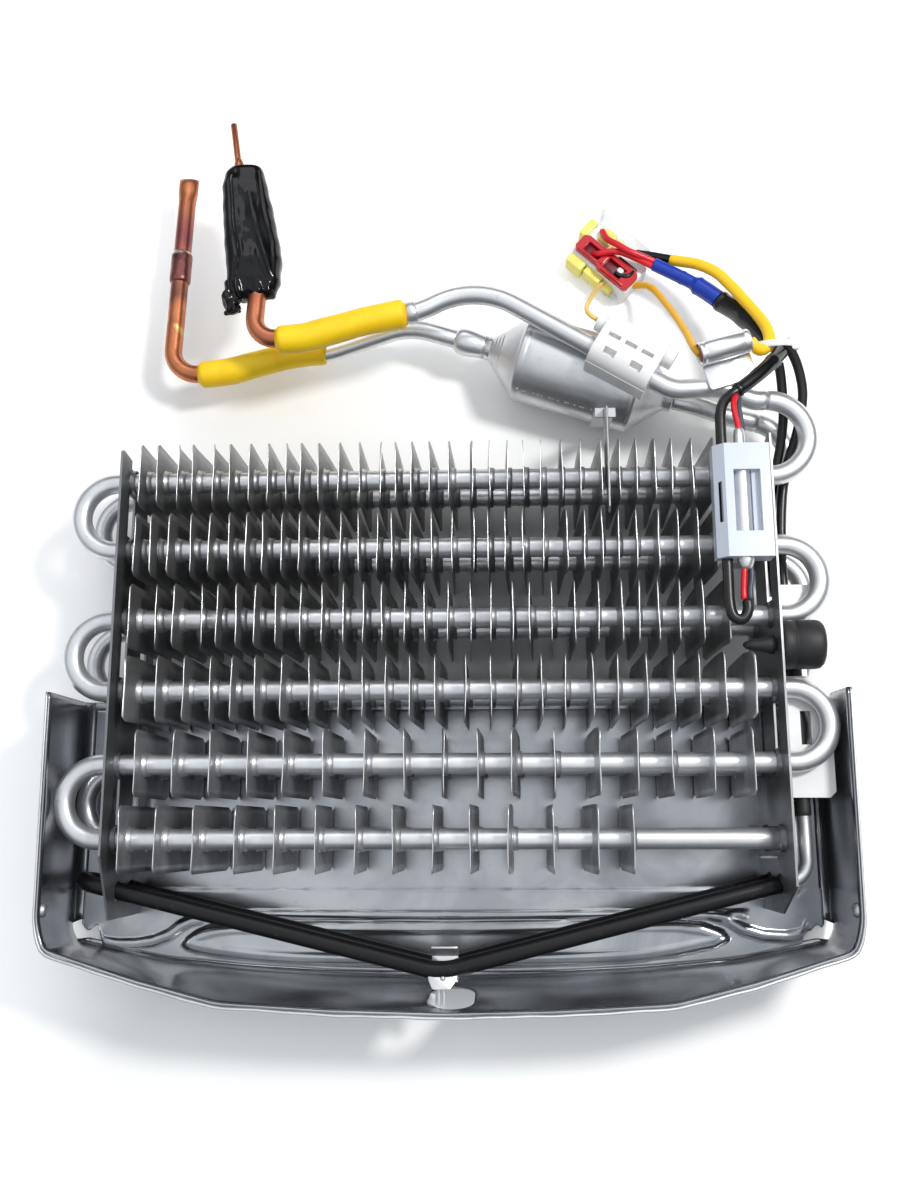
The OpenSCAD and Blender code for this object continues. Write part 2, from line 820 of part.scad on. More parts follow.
// Harness
RED_A = [[69.6, 265.9, 13.6], [71.5, 260.4, 16.4], [75.6, 256.2, 18.9], [80.4, 252.6, 19.6],
    [86.2, 250.6, 18.4], [91.7, 248.6, 17]];
RED_B = [[65.3, 255.6, 12.2], [67.6, 254.2, 14.6], [71.6, 254.4, 16], [77, 253.8, 16.6],
    [83.4, 250.7, 16.9], [87.1, 248.6, 17], [90.6, 246.6, 17]];
BLUE = [[91.2, 247.6, 17], [99, 243.3, 17], [107, 237.9, 18.5], [112.8, 233, 20],
    [118, 227.5, 22]];
BLACK = [[118, 227.5, 22], [120.1, 225.3, 22.8], [124.2, 219.4, 27.2], [128.2, 211.6, 32.6],
    [131.2, 203.9, 37.2], [133.2, 197.6, 41]];
SPLICE = [[136.8, 193.2, 44], [131.5, 186.6, 49.6], [125.4, 180.4, 53], [119, 175, 54.6],
    [115.6, 172.6, 55]];
SLEEVED = [[80.9, 256.5, 9], [84.6, 256.4, 9.6], [90.4, 254.4, 11.6], [101.3, 249.9, 18],
    [109.5, 245, 23], [116, 239, 25.6], [121.5, 231.5, 28.6], [126, 223, 32.6],
    [130, 214.5, 37.6], [133.6, 206.5, 43], [134.4, 201, 47.4], [132.2, 198.3, 50.4],
    [128, 197, 51.6], [123, 195.6, 51.6]];
THERMO = [[83.5, 241.5, 9], [87.6, 239.4, 11], [91.6, 236.2, 14.4], [94.6, 231, 19],
    [96.6, 224, 24.8], [97.4, 212, 35.4], [96.9, 200, 45.6], [97.2, 193, 50],
    [99.4, 189.4, 51.4], [102.9, 189.7, 51.5]];
FUSE = [[70.4, 243.9, 8], [68.4, 241.6, 9.8], [66, 236.5, 16.4], [63.6, 230, 25],
    [61.2, 222.5, 34.5], [59, 215.4, 42.4], [59.6, 210.4, 46.4], [63.1, 207.3, 47]];
SENSOR = [[115.5, 172.5, 55], [113.2, 170.9, 55.3], [110.2, 167.6, 56.4], [108.5, 162.4, 57.2],
    [108.2, 154, 57.4], [108.2, 124, 57.4], [108.2, 96, 57.4], [108.2, 86.5, 57.8],
    [109.4, 81.8, 58], [112.6, 80.6, 58.2], [114.8, 84, 58.3], [114.8, 88, 58.3]];
LEAD_F = [[138, 66.1, 31], [138, 69, 31], [137.8, 77, 28.6], [136.9, 92, 27], [136.6, 112, 27],
    [138, 134, 27], [140.6, 149, 27.8], [145.2, 164, 30.6], [147.2, 177, 34.5],
    [145.8, 186, 38], [142.2, 193.4, 42], [137.8, 196.8, 44.5]];
LEAD_R = [[138, 14.6, 14], [138, 16.5, 14.4], [138, 21.5, 18.4], [138, 28, 22],
    [137.2, 48, 22.5], [136, 76, 22.5], [134, 102, 22.6], [133.8, 124, 22.7],
    [136.2, 144, 24], [139, 160, 27.6], [139.8, 172, 31.6], [138.2, 184, 37.4],
    [136.6, 190, 41]];

module harness_wires() {
    color([0.82, 0.1, 0.12])
    upper_right()
        for (route = [RED_A, RED_B])
            cable(route, 2.3, 2.3, 8);
}

module blue_sleeve() {
    color([0.08, 0.28, 0.8])
    upper_right()
        cable(BLUE, 4.6, 7.4, 12);
}

module black_sleeve() {
    color([0.06, 0.06, 0.06])
    upper_right()
        cable(BLACK, 7.8, 7.8, 12);
}

module splice_sleeve() {
    color([0.06, 0.06, 0.06])
    upper_right()
        cable(SPLICE, 5.4, 4.6, 12);
}

module sleeved_lead() {
    color([1, 0.78, 0.08])
    upper_right()
        cable(SLEEVED, 3.8, 3.8, 8);
}

module thermostat_lead() {
    color([0.85, 0.65, 0.1])
    upper_right()
        cable(THERMO, 3, 3, 8);
}

module fuse_lead() {
    color([0.85, 0.7, 0.35])
    upper_right()
        cable(FUSE, 2, 2, 8);
}

module sensor_cable() {
    color([0.08, 0.08, 0.09])
    upper_right()
        cable(SENSOR, 4.2, 4.2, 10);
}

module heater_lead_front() {
    color([0.06, 0.06, 0.07])
    upper_right()
        cable(LEAD_F, 4, 4, 8);
}

module heater_lead_rear() {
    color([0.06, 0.06, 0.07])
    upper_right()
        cable(LEAD_R, 4, 4, 8);
}

module cable_tie() {
    color([0.93, 0.93, 0.92])
    upper_right()
        translate([134.2, 197.2, 42.2])
            rotate([52, 0, 18]) {
                difference() {
                    cylinder(h = 2.6, d = 19, center = true);
                    cylinder(h = 4, d = 17.2, center = true);
                }
                translate([9.8, -2, 0])
                    cube([5, 5.5, 5], center = true);
            }
}

// The connector lies along its own Y, turned over the surface
module on_connector() {
    upper_right()
        translate([72.3, 256, 0])
            rotate([0, 0, 47])
                children();
}

module connector_housing() {
    color([0.93, 0.93, 0.92])
    on_connector() {
        difference() {
            translate([-10, -18, 1])
                cube([16, 31, 11]);
            // row of terminal cavities in the upper end
            for (x = [-7.6, -3.4, 0.8])
                translate([x, 8, 3])
                    cube([3.2, 6, 6.5]);
        }
        // latch with its window
        difference() {
            translate([-13, -14.5, 3])
                cube([3.5, 6.5, 1.6]);
            translate([-12, -13.4, 2])
                cube([2.2, 4.3, 4]);
        }
        // clear guard on the far edge
        translate([5.5, -8, 1])
            cube([8.5, 22, 1]);
        linear_extrude(13)
            translate([0, 0])
                polygon([[13, -13], [14, -13], [15.6, 16.7], [14.6, 16.7]]);
        translate([8, 15, 1])
            cube([7, 1.2, 12]);
    }
}

module connector_retainer() {
    color([0.9, 0.86, 0.35])
    on_connector() {
        translate([-13.2, -5.6, 3])
            cube([3.1, 8.6, 7]);
        translate([-14.2, 3.4, 3])
            cube([4.1, 8.8, 8]);
        translate([-1.5, 13.1, 3])
            cube([9, 3.4, 10]);
        translate([0.4, -4.5, 12.1])
            cube([5.4, 6, 1.4]);
        translate([0.4, 2.2, 12.1])
            cube([5.4, 6, 1.4]);
    }
}

module connector_lock() {
    color([0.7, 0.1, 0.12])
    on_connector()
        difference() {
            translate([0, 0, 12.1])
                linear_extrude(2.6)
                    polygon([[-8.8, 11.6], [-7.6, 13], [-1.6, 13], [-0.2, 11], [-0.2, -16.6],
                        [-1.6, -18], [-8.6, -18], [-10, -16.6], [-10, -2], [-8.8, 0]]);
            translate([-7.2, 0.5, 11])
                cube([4.8, 8.5, 6]);
            translate([-7.8, -12.5, 11])
                cube([5.6, 9.5, 6]);
        }
}

drip_tray();
tray_rivets();
left_end_plate();
right_end_plate();
fins_row_1();
fins_row_2();
fins_row_3();
fins_row_4();
fins_row_5();
fins_row_6();
front_coil_tube();
rear_coil_tube();
inlet_pipe();
outlet_pipe();
accumulator();
suction_pipe();
joint_collar();
accumulator_strap();
upper_sleeve();
lower_sleeve();
inlet_copper_elbow();
sealing_tape();
capillary_tube();
suction_copper_riser();
suction_coupling();
fuse_clip();
thermostat_sheath();
thermostat_body();
sensor_holder();
sensor_capsule();
sensor_red_wires();
heater_rod();
heater_ends();
heater_end_sleeves();
heater_clip();
lead_cover();
rubber_buffer();
cable_tie();
connector_housing();
connector_retainer();
connector_lock();
harness_wires();
blue_sleeve();
black_sleeve();
splice_sleeve();
sleeved_lead();
thermostat_lead();
fuse_lead();
sensor_cable();
heater_lead_front();
heater_lead_rear();
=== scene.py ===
"""Refrigerator evaporator coil with its drip tray, heater, accumulator and wiring.

Each surface is a grid of points worked out with numpy in the coil's own frame, in millimetres:
+X to the right along the tubes, +Y up the coil, +Z out of its front, z = 0 at the tray's back.
The meshes are written in metres.
"""

import math
from functools import partialmethod

import bmesh
import bpy
import numpy as np
from mathutils import Matrix, Vector


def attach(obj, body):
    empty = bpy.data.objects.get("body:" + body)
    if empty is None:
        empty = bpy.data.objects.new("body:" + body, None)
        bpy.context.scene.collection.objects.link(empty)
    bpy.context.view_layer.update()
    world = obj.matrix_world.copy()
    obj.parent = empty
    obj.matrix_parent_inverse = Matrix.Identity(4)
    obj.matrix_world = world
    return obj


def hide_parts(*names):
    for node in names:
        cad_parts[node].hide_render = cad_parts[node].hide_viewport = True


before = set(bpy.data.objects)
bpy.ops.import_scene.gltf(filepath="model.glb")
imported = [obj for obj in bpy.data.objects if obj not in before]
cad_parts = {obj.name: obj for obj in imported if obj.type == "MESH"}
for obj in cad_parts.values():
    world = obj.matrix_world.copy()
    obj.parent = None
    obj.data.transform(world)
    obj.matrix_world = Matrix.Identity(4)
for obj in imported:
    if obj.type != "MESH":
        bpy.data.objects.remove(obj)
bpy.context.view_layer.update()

MM = 0.001

# The coil's own sizes, as in its CAD model
PLATE_X = 128.0
ROW_PITCH = 28.5
ROWS = 6
TOP_Y = (ROWS - 1) * ROW_PITCH
TUBE_R = 4.0
Z_REAR, Z_MID, Z_FRONT = 14.5, 27.0, 39.5
BANK_HALF = (Z_FRONT - Z_REAR) / 2
FIN_HALF_DEPTH, FIN_HALF_HEIGHT = 26.0, 12.75
BEND_X = PLATE_X + 5.5
CROSS_X = PLATE_X - 12.0
TRAY_HX = 155.5
TRAY_DEPTH = 50.0
TRAY_T = 0.8
FIN_T = 0.3
HEATER_R, HEATER_END_R, CUFF_R = 3.3, 2.5, 2.75
COPPER_R, CAPILLARY_R = 3.8, 1.4
ACC_R = 18.75
TIE_R = 8.2

MERGE_WITHIN = 2e-6
SHARP_ANGLE = math.radians(35.0)


def row_y(i):
    """Height of row i, counted from the top row, which is 1."""
    return (ROWS - i) * ROW_PITCH


def put(name, data):
    """New object that shows this data, in the scene."""
    thing = bpy.data.objects.new(name, data)
    bpy.context.scene.collection.objects.link(thing)
    return thing


# ---------------------------------------------------------------- camera and lamps

# The camera fitted to the photograph: focal length in pixels of a frame 1200 high, its turns and
# its place above the coil
FOCAL_PX, FRAME_PX = 1134.747, 1200.0
CAMERA_TURN = (-11.48272118, 2.02350384, -0.1261675)
CAMERA_AT = (17.637, 3.150, 480.427)
SENSOR = 36.0


def turn_matrix(axis, degrees):
    return np.array(Matrix.Rotation(math.radians(degrees), 3, axis))


def make_camera():
    """Camera at the place and with the turns that fit the photograph, its image y pointing down."""
    flip = np.diag([1.0, -1.0, -1.0])
    tx, ty, tz = CAMERA_TURN
    to_camera = turn_matrix("Z", tz) @ turn_matrix("X", tx) @ turn_matrix("Y", ty) @ flip
    data = bpy.data.cameras.new("camera")
    data.sensor_width = SENSOR
    data.lens = FOCAL_PX / FRAME_PX * SENSOR
    data.clip_start, data.clip_end = 0.01, 20.0
    camera = put("camera", data)
    place = Matrix((flip @ to_camera).T.tolist()).to_4x4()
    place.translation = [c * MM for c in CAMERA_AT]
    camera.matrix_world = place
    bpy.context.scene.camera = camera


def area_lamp(name, place, aim, size, power, colour=(1, 1, 1)):
    """Round lamp at place, in metres, that points at aim."""
    data = bpy.data.lights.new(name, "AREA")
    data.shape = "DISK"
    data.size, data.energy, data.color = size, power, colour
    lamp = put(name, data)
    lamp.location = place
    lamp.rotation_mode = "QUATERNION"
    lamp.rotation_quaternion = (Vector(aim) - Vector(place)).to_track_quat("-Z", "Y")
    lamp.visible_camera = False


# ---------------------------------------------------------------- materials


class Number:
    """A number inside a material. Its operators add Math nodes, so shader maths reads as maths."""

    def __init__(self, look, socket):
        self.look, self.socket = look, socket

    def _math(self, operation, *values):
        node = self.look.add("ShaderNodeMath", {"operation": operation}, values)
        return Number(self.look, node.outputs[0])

    def _with(self, operation, *others):
        """The operation on this number first and then the others."""
        return self._math(operation, self, *others)

    def __rsub__(self, other):
        return self._math("SUBTRACT", other, self)

    __add__ = __radd__ = partialmethod(_with, "ADD")
    __sub__ = partialmethod(_with, "SUBTRACT")
    __mul__ = __rmul__ = partialmethod(_with, "MULTIPLY")
    __pow__ = partialmethod(_with, "POWER")
    least = partialmethod(_with, "MINIMUM")
    most = partialmethod(_with, "MAXIMUM")
    abs = partialmethod(_with, "ABSOLUTE")

    def step(self, low, high):
        """0 below low, 1 above high and smooth between them."""
        settings = {"interpolation_type": "SMOOTHSTEP"}
        node = self.look.add("ShaderNodeMapRange", settings, {0: self, 1: low, 2: high})
        return Number(self.look, node.outputs[0])

    def band(self, middle, width):
        """1 at middle, falling smoothly to 0 at width either side of it."""
        return 1 - (self - middle).abs().step(0.0, width)


class Look:
    """One finish, with a Principled shader. Values that are the same all over are set at once."""

    def __init__(self, name, colour, rough=0.4, metal=0.0, **uniform):
        self.material = bpy.data.materials.new(name)
        self.material.use_nodes = True
        self.tree = self.material.node_tree
        self.shader = self.tree.nodes["Principled BSDF"]
        self.shader.inputs["Base Color"].default_value = (*colour, 1)
        self.shader.inputs["Roughness"].default_value = rough
        self.shader.inputs["Metallic"].default_value = metal
        for socket, value in uniform.items():
            self.shader.inputs[socket.replace("_", " ")].default_value = value

    def add(self, kind, settings=None, values=()):
        """New node of a type, with its settings and then the values or links of its sockets."""
        node = self.tree.nodes.new(kind)
        for key, value in (settings or {}).items():
            setattr(node, key, value)
        items = values.items() if isinstance(values, dict) else enumerate(values)
        for key, value in items:
            if isinstance(value, Number):
                self.tree.links.new(value.socket, node.inputs[key])
            elif isinstance(value, bpy.types.NodeSocket):
                self.tree.links.new(value, node.inputs[key])
            else:
                node.inputs[key].default_value = value
        return node

    def place(self, stretch=(1, 1, 1), turn=0.0, by="Object"):
        """Place on the piece, in metres from the coil's origin, stretched and turned about Z."""
        source = self.add("ShaderNodeTexCoord").outputs[by]
        values = {0: source, 2: (0, 0, math.radians(turn)), 3: stretch}
        return self.add("ShaderNodeMapping", None, values).outputs[0]

    def axis(self, which, by="Object"):
        """One coordinate of the place, in metres."""
        parts = self.add("ShaderNodeSeparateXYZ", None, {0: self.place(by=by)})
        return Number(self, parts.outputs["XYZ".index(which)])

    def attribute(self, name):
        node = self.add("ShaderNodeAttribute", {"attribute_name": name})
        return Number(self, node.outputs["Fac"])

    def noise(self, scale, detail=3.0, rough=0.5, warp=0.0, stretch=(1, 1, 1), turn=0.0,
              by="Object"):
        values = {"Vector": self.place(stretch, turn, by), "Scale": scale, "Detail": detail}
        values.update({"Roughness": rough, "Distortion": warp})
        return Number(self, self.add("ShaderNodeTexNoise", None, values).outputs[0])

    def cells(self, scale):
        """Distance to the nearest of many scattered points, for pits."""
        values = {"Vector": self.place(), "Scale": scale}
        return Number(self, self.add("ShaderNodeTexVoronoi", None, values).outputs[0])

    def mix(self, share, first, second):
        """Colour that is first where share is 0 and second where it is 1."""
        first, second = ((*c, 1) if isinstance(c, tuple) else c for c in (first, second))
        values = {0: share, 6: first, 7: second}
        return self.add("ShaderNodeMix", {"data_type": "RGBA"}, values).outputs[2]

    def paint(self, colour):
        self.tree.links.new(colour, self.shader.inputs["Base Color"])
        return self

    def feed(self, socket, number):
        self.tree.links.new(number.socket, self.shader.inputs[socket])
        return self

    def relief(self, height, depth):
        """Bumps of height times depth millimetres."""
        values = {"Strength": 1.0, "Distance": depth * MM, "Height": height}
        bump = self.add("ShaderNodeBump", None, values)
        self.tree.links.new(bump.outputs[0], self.shader.inputs["Normal"])
        return self


def aluminium(name, tone, rough, wave=0.0, wave_scale=30.0, stain=0.0, brushed=None, metal=0.9):
    """Mill aluminium: cloudy tone, fine grain, small pits and, on sheet, slow waves."""
    look = Look(name, tone, rough, metal)
    cloud = look.noise(45.0, 4.0, 0.55, 0.6)
    grain = look.noise(900.0, 2.0, stretch=brushed or (1, 1, 1))
    pits = look.cells(330.0).step(0.0, 0.16)
    dull = tuple(c * 0.72 for c in tone)
    colour = look.mix(cloud.step(0.32, 0.75) * 0.55, tone, dull)
    if stain:
        marks = look.noise(160.0, 5.0, 0.7, 0.3).step(0.62, 0.74) * stain
        colour = look.mix(marks, colour, (0.16, 0.13, 0.10))
    look.paint(look.mix((1 - pits) * 0.35, colour, (0.22, 0.2, 0.18)))
    look.feed("Roughness", rough + cloud.step(0.3, 0.8) * 0.12 + grain * 0.06)
    height = grain * 0.012 + pits * 0.01
    if wave:
        height = height + look.noise(wave_scale, 1.5, 0.4) * wave
    look.relief(height, 1.0)
    return look


def plastic(name, colour, rough=0.35, grain=0.006, grain_scale=700.0, soil=0.12, **uniform):
    """Moulded plastic: very fine grain, a slightly uneven tone and a trace of dust."""
    look = Look(name, colour, rough, **uniform)
    tone = look.noise(60.0, 3.0, 0.6)
    look.paint(look.mix(tone.step(0.35, 0.75) * soil, colour, tuple(c * 0.72 for c in colour)))
    look.feed("Roughness", rough + tone * 0.12)
    look.relief(look.noise(grain_scale, 2.0) * grain, 1.0)
    return look


# ---------------------------------------------------------------- shapes


def unit(v):
    return v / np.linalg.norm(v, axis=-1, keepdims=True)


def smooth(points, parts=8):
    """Catmull-Rom curve through the points, parts steps to a span."""
    p = np.asarray(points, float)
    p = np.vstack([2 * p[0] - p[1], p, 2 * p[-1] - p[-2]])
    t = np.linspace(0, 1, parts, endpoint=False)[:, None, None]
    a, b, c, d = p[:-3], p[1:-2], p[2:-1], p[3:]
    curve = 0.5 * (2 * b + (c - a) * t + (2 * a - 5 * b + 4 * c - d) * t**2
                   + (3 * b - a - 3 * c + d) * t**3)
    return np.vstack([curve.transpose(1, 0, 2).reshape(-1, p.shape[1]), p[-2]])


def even(path, step):
    """The same path with points a fixed step apart."""
    gone = np.r_[0, np.cumsum(np.linalg.norm(np.diff(path, axis=0), axis=1))]
    at = np.linspace(0, gone[-1], max(2, int(round(gone[-1] / step)) + 1))
    return np.stack([np.interp(at, gone, path[:, k]) for k in range(path.shape[1])], 1)


def bent(corners, radii, step=6.0):
    """Path along corners with an arc of the given radius at each inner one, step degrees apart."""
    p = np.asarray(corners, float)
    out = [p[:1]]
    for k in range(1, len(p) - 1):
        u, w = unit(p[k] - p[k - 1]), unit(p[k + 1] - p[k])
        turn = math.acos(max(-1.0, min(1.0, float(u @ w))))
        start = p[k] - u * radii[k] * math.tan(turn / 2)
        side = unit(w - u * (u @ w))
        a = np.linspace(0, turn, max(2, int(math.degrees(turn) / step) + 2))[:, None]
        out.append(start + radii[k] * (np.sin(a) * u + (1 - np.cos(a)) * side))
    return np.vstack(out + [p[-1:]])


def half_circle(centre, radius, start, stop, plane="XY", parts=24):
    """Arc from start to stop degrees round centre in the plane given."""
    a = np.radians(np.linspace(start, stop, parts + 1))
    out = np.tile(np.asarray(centre, float), (parts + 1, 1))
    first, second = ("XYZ".index(c) for c in plane)
    out[:, first] += radius * np.cos(a)
    out[:, second] += radius * np.sin(a)
    return out


def directions(path):
    """Unit tangent and two unit normals at each point, carried along without twist."""
    t = unit(np.gradient(path, axis=0))
    first = np.cross(t[0], [0, 0, 1.0] if abs(t[0][2]) < 0.9 else [1.0, 0, 0])
    normals = [unit(first)]
    for k in range(1, len(path)):
        n = normals[-1] - t[k] * (normals[-1] @ t[k])
        normals.append(unit(n))
    n = np.array(normals)
    return t, n, np.cross(t, n)


def tube(path, radius, sides=28, shape=None, soft=0.12):
    """P + r (cos a N + sin a B) along a path. shape(s, a) scales r at share s of the length and
    angle a. The ends are closed: the last ring shrinks by soft r, and then to a point."""
    path = np.asarray(path, float)
    r = np.broadcast_to(np.asarray(radius, float), (len(path),)).copy()
    t, n, b = directions(path)
    s = np.linspace(0, 1, len(path))
    e0, e1 = soft * r[0], soft * r[-1]
    path = np.vstack([path[0], path[0], path[0] + t[0] * e0, path[1:-1],
                      path[-1] - t[-1] * e1, path[-1], path[-1]])
    r = np.r_[0, r[0] - e0, r[0], r[1:-1], r[-1], r[-1] - e1, 0]
    n, b = (np.vstack([v[:1], v[:1], v, v[-1:], v[-1:]]) for v in (n, b))
    s = np.r_[0, 0, s, 1, 1]
    a = np.linspace(0, 2 * np.pi, sides, endpoint=False)
    scale = shape(s[:, None], a[None, :]) if shape else 1.0
    ring = np.cos(a)[None, :, None] * n[:, None] + np.sin(a)[None, :, None] * b[:, None]
    return path[:, None] + ring * (r[:, None] * scale)[..., None]


def turned(profile, origin, direction, sides=40):
    """Profile of (radius, distance) turned round the line from origin along direction."""
    profile = np.asarray(profile, float)
    d = unit(np.asarray(direction, float))
    n = unit(np.cross(d, [0, 0, 1.0] if abs(d[2]) < 0.9 else [1.0, 0, 0]))
    b = np.cross(d, n)
    a = np.linspace(0, 2 * np.pi, sides, endpoint=False)
    ring = np.cos(a)[:, None] * n + np.sin(a)[:, None] * b
    return (np.asarray(origin, float) + profile[:, 1, None, None] * d
            + profile[:, 0, None, None] * ring[None])


def first_corners(rows, columns, around):
    """Row and column of each cell's first corner. A grid that runs round has a last cell more."""
    return np.meshgrid(np.arange(rows - 1), np.arange(columns if around else columns - 1),
                       indexing="ij")


def cells_of(rows, columns, around):
    """Corner numbers of each cell, in one turning direction."""
    i, j = first_corners(rows, columns, around)
    k = (j + 1) % columns
    return np.stack([i * columns + j, i * columns + k, (i + 1) * columns + k,
                     (i + 1) * columns + j], -1).reshape(-1, 4)


def uv_of(grid, around):
    """u is the share round or across, v the distance along the first column in decimetres."""
    rows, columns = grid.shape[:2]
    v = np.r_[0, np.cumsum(np.linalg.norm(np.diff(grid.mean(1), axis=0), axis=1))] / 100
    i, j = first_corners(rows, columns, around)
    width = columns if around else columns - 1
    u0, u1, v0, v1 = j / width, (j + 1) / width, v[i], v[i + 1]
    return np.stack([u0, v0, u1, v0, u1, v1, u0, v1], -1).reshape(-1, 2)


def piece(name, grids, look, stands_for=(), around=True, closed=True, sheet=0.0, bevel=0.0,
          values=None):
    """One mesh from grids of points in millimetres. Doubles are merged, which closes seams and
    poles, and a closed shell gets its normals outwards. sheet thickens an open surface."""
    grids = [np.asarray(g, float) for g in grids]
    rings = around if isinstance(around, list) else [around] * len(grids)
    starts = np.r_[0, np.cumsum([g.shape[0] * g.shape[1] for g in grids])]
    corners = np.vstack([cells_of(*g.shape[:2], r) + s for g, s, r in zip(grids, starts, rings)])
    uv = np.vstack([uv_of(g, r) for g, r in zip(grids, rings)])
    points = np.vstack([g.reshape(-1, 3) for g in grids]) * MM
    mesh = bpy.data.meshes.new(name)
    mesh.from_pydata(points, [], corners)
    mesh.uv_layers.new(name="UVMap").data.foreach_set("uv", uv.ravel().astype(np.float32))
    for key, value in (values or {}).items():
        mesh.attributes.new(key, "FLOAT", "POINT").data.foreach_set(
            "value", np.asarray(value, np.float32).ravel())
    work = bmesh.new()
    work.from_mesh(mesh)
    bmesh.ops.remove_doubles(work, verts=work.verts, dist=MERGE_WITHIN)
    bmesh.ops.dissolve_degenerate(work, edges=work.edges, dist=1e-7)
    if closed:
        bmesh.ops.recalc_face_normals(work, faces=work.faces)
    work.to_mesh(mesh)
    work.free()
    mesh.shade_smooth()
    thing = put(name, mesh)
    if sheet:
        thick = thing.modifiers.new("sheet", "SOLIDIFY")
        thick.thickness, thick.offset = abs(sheet) * MM, math.copysign(1, sheet)
    return dress(thing, look, stands_for, bevel)


def dress(thing, look, stands_for=(), bevel=0.0):
    """Gives a piece its finish, rounds its edges by bevel millimetres and fixes it to the coil."""
    thing.data.materials.clear()
    thing.data.materials.append(look.material)
    if bevel:
        soft = thing.modifiers.new("edges", "BEVEL")
        soft.width, soft.segments, soft.limit_method = bevel * MM, 2, "ANGLE"
        soft.angle_limit = SHARP_ANGLE
    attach(thing, "root")
    if stands_for:
        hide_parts(*stands_for)
    return thing


def from_cad(node, look, bevel):
    """Copy of a CAD node whose shape is right, merged, with smooth curves and rounded edges."""
    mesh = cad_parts[node].data.copy()
    mesh.name = node + "_skin"
    work = bmesh.new()
    work.from_mesh(mesh)
    bmesh.ops.remove_doubles(work, verts=work.verts, dist=MERGE_WITHIN)
    bmesh.ops.dissolve_limit(work, angle_limit=math.radians(1.0), verts=work.verts,
                             edges=work.edges)
    work.to_mesh(mesh)
    work.free()
    thing = put(mesh.name, mesh)
    mesh.shade_smooth()
    mesh.set_sharp_from_angle(angle=SHARP_ANGLE)
    return dress(thing, look, (node,), bevel)


def capped(grid):
    """The grid with its first and last rows closed, each to its own middle."""
    first, last = (np.tile(g.mean(0), (grid.shape[1], 1))[None] for g in (grid[0], grid[-1]))
    return np.concatenate([first, grid, last])


def split(path, longest):
    """The same path with every span longer than that cut into equal parts."""
    out = [path[:1]]
    for p, q in zip(path[:-1], path[1:]):
        count = max(1, int(np.linalg.norm(q - p) / longest))
        out.append(p + (q - p) * np.linspace(0, 1, count + 1)[1:, None])
    return np.vstack(out)


def mirrored(half):
    """Outline from its left half, which ends on the middle line."""
    return half + [[-x, y] for x, y in half[-2::-1]]


def spans(points, step):
    """How many steps of about the given length fit each span of a broken line."""
    length = np.linalg.norm(np.diff(np.asarray(points, float), axis=0), axis=1)
    return np.maximum(2, np.round(length / step)).astype(int)


def soft_line(points, counts, width):
    """Broken line sampled counts times to a span, with its corners rounded by a bell-shaped
    running mean that is width samples wide."""
    p = np.asarray(points, float)
    at = np.concatenate([k + np.arange(c) / c for k, c in enumerate(counts)] + [[len(counts)]])
    line = np.stack([np.interp(at, np.arange(len(p)), p[:, k]) for k in range(p.shape[1])], 1)
    bell = np.exp(-0.5 * (np.arange(-2 * width, 2 * width + 1) / (width / 2)) ** 2)
    pad = 2 * width
    first = line[0] + (line[0] - line[1]) * np.arange(pad, 0, -1)[:, None]
    last = line[-1] + (line[-1] - line[-2]) * np.arange(1, pad + 1)[:, None]
    long = np.vstack([first, line, last])
    return np.stack([np.convolve(long[:, k], bell / bell.sum(), "valid") for k in
                     range(p.shape[1])], 1)


def rise(x, low, high):
    """Smooth step from 0 at low to 1 at high."""
    t = np.clip((x - low) / (high - low), 0, 1)
    return t * t * (3 - 2 * t)


def slab(outline, low, high, soft=0.35, place=None):
    """Outline in the XY plane stood up from z = low to high. Its rims are inset by soft and the
    two faces run in to the outline's middle. place moves the points."""
    outline = np.asarray(outline, float)
    middle = outline.mean(0)
    out = unit(outline - middle)
    inset, more = outline - out * soft, outline - out * soft * 0.3
    levels = [(np.tile(middle, (len(outline), 1)), low), (inset, low), (more, low + soft * 0.3),
              (outline, low + soft), (outline, high - soft), (more, high - soft * 0.3),
              (inset, high), (np.tile(middle, (len(outline), 1)), high)]
    grid = np.stack([np.c_[ring, np.full(len(ring), z)] for ring, z in levels])
    return grid if place is None else place(grid)


def round_rect(x0, x1, y0, y1, r=0.8, parts=4):
    """Rectangle with corners rounded by r."""
    a = np.linspace(0, np.pi / 2, parts + 1)
    corners = [(x1 - r, y1 - r, 0), (x0 + r, y1 - r, 1), (x0 + r, y0 + r, 2), (x1 - r, y0 + r, 3)]
    return np.vstack([np.c_[cx + r * np.cos(a + k * np.pi / 2), cy + r * np.sin(a + k * np.pi / 2)]
                      for cx, cy, k in corners])


def turned_by(degrees, centre):
    """Turns points about Z by degrees and moves them to centre."""
    m, c = turn_matrix("Z", degrees), np.asarray(centre, float)
    return lambda p: p @ m.T + c


# ---------------------------------------------------------------- finishes


def wire_cover(name, colour, rough=0.28, soil=0.15):
    """Drawn insulation: smooth, slightly uneven, with faint dust."""
    look = Look(name, colour, rough)
    tone = look.noise(90.0, 3.0, 0.6)
    look.paint(look.mix(tone.step(0.4, 0.8) * soil, colour, tuple(c * 0.6 + 0.05 for c in colour)))
    look.feed("Roughness", rough + tone * 0.15)
    look.relief(look.noise(260.0, 2.0) * 0.03 + look.noise(1500.0, 2.0) * 0.004, 1.0)
    return look


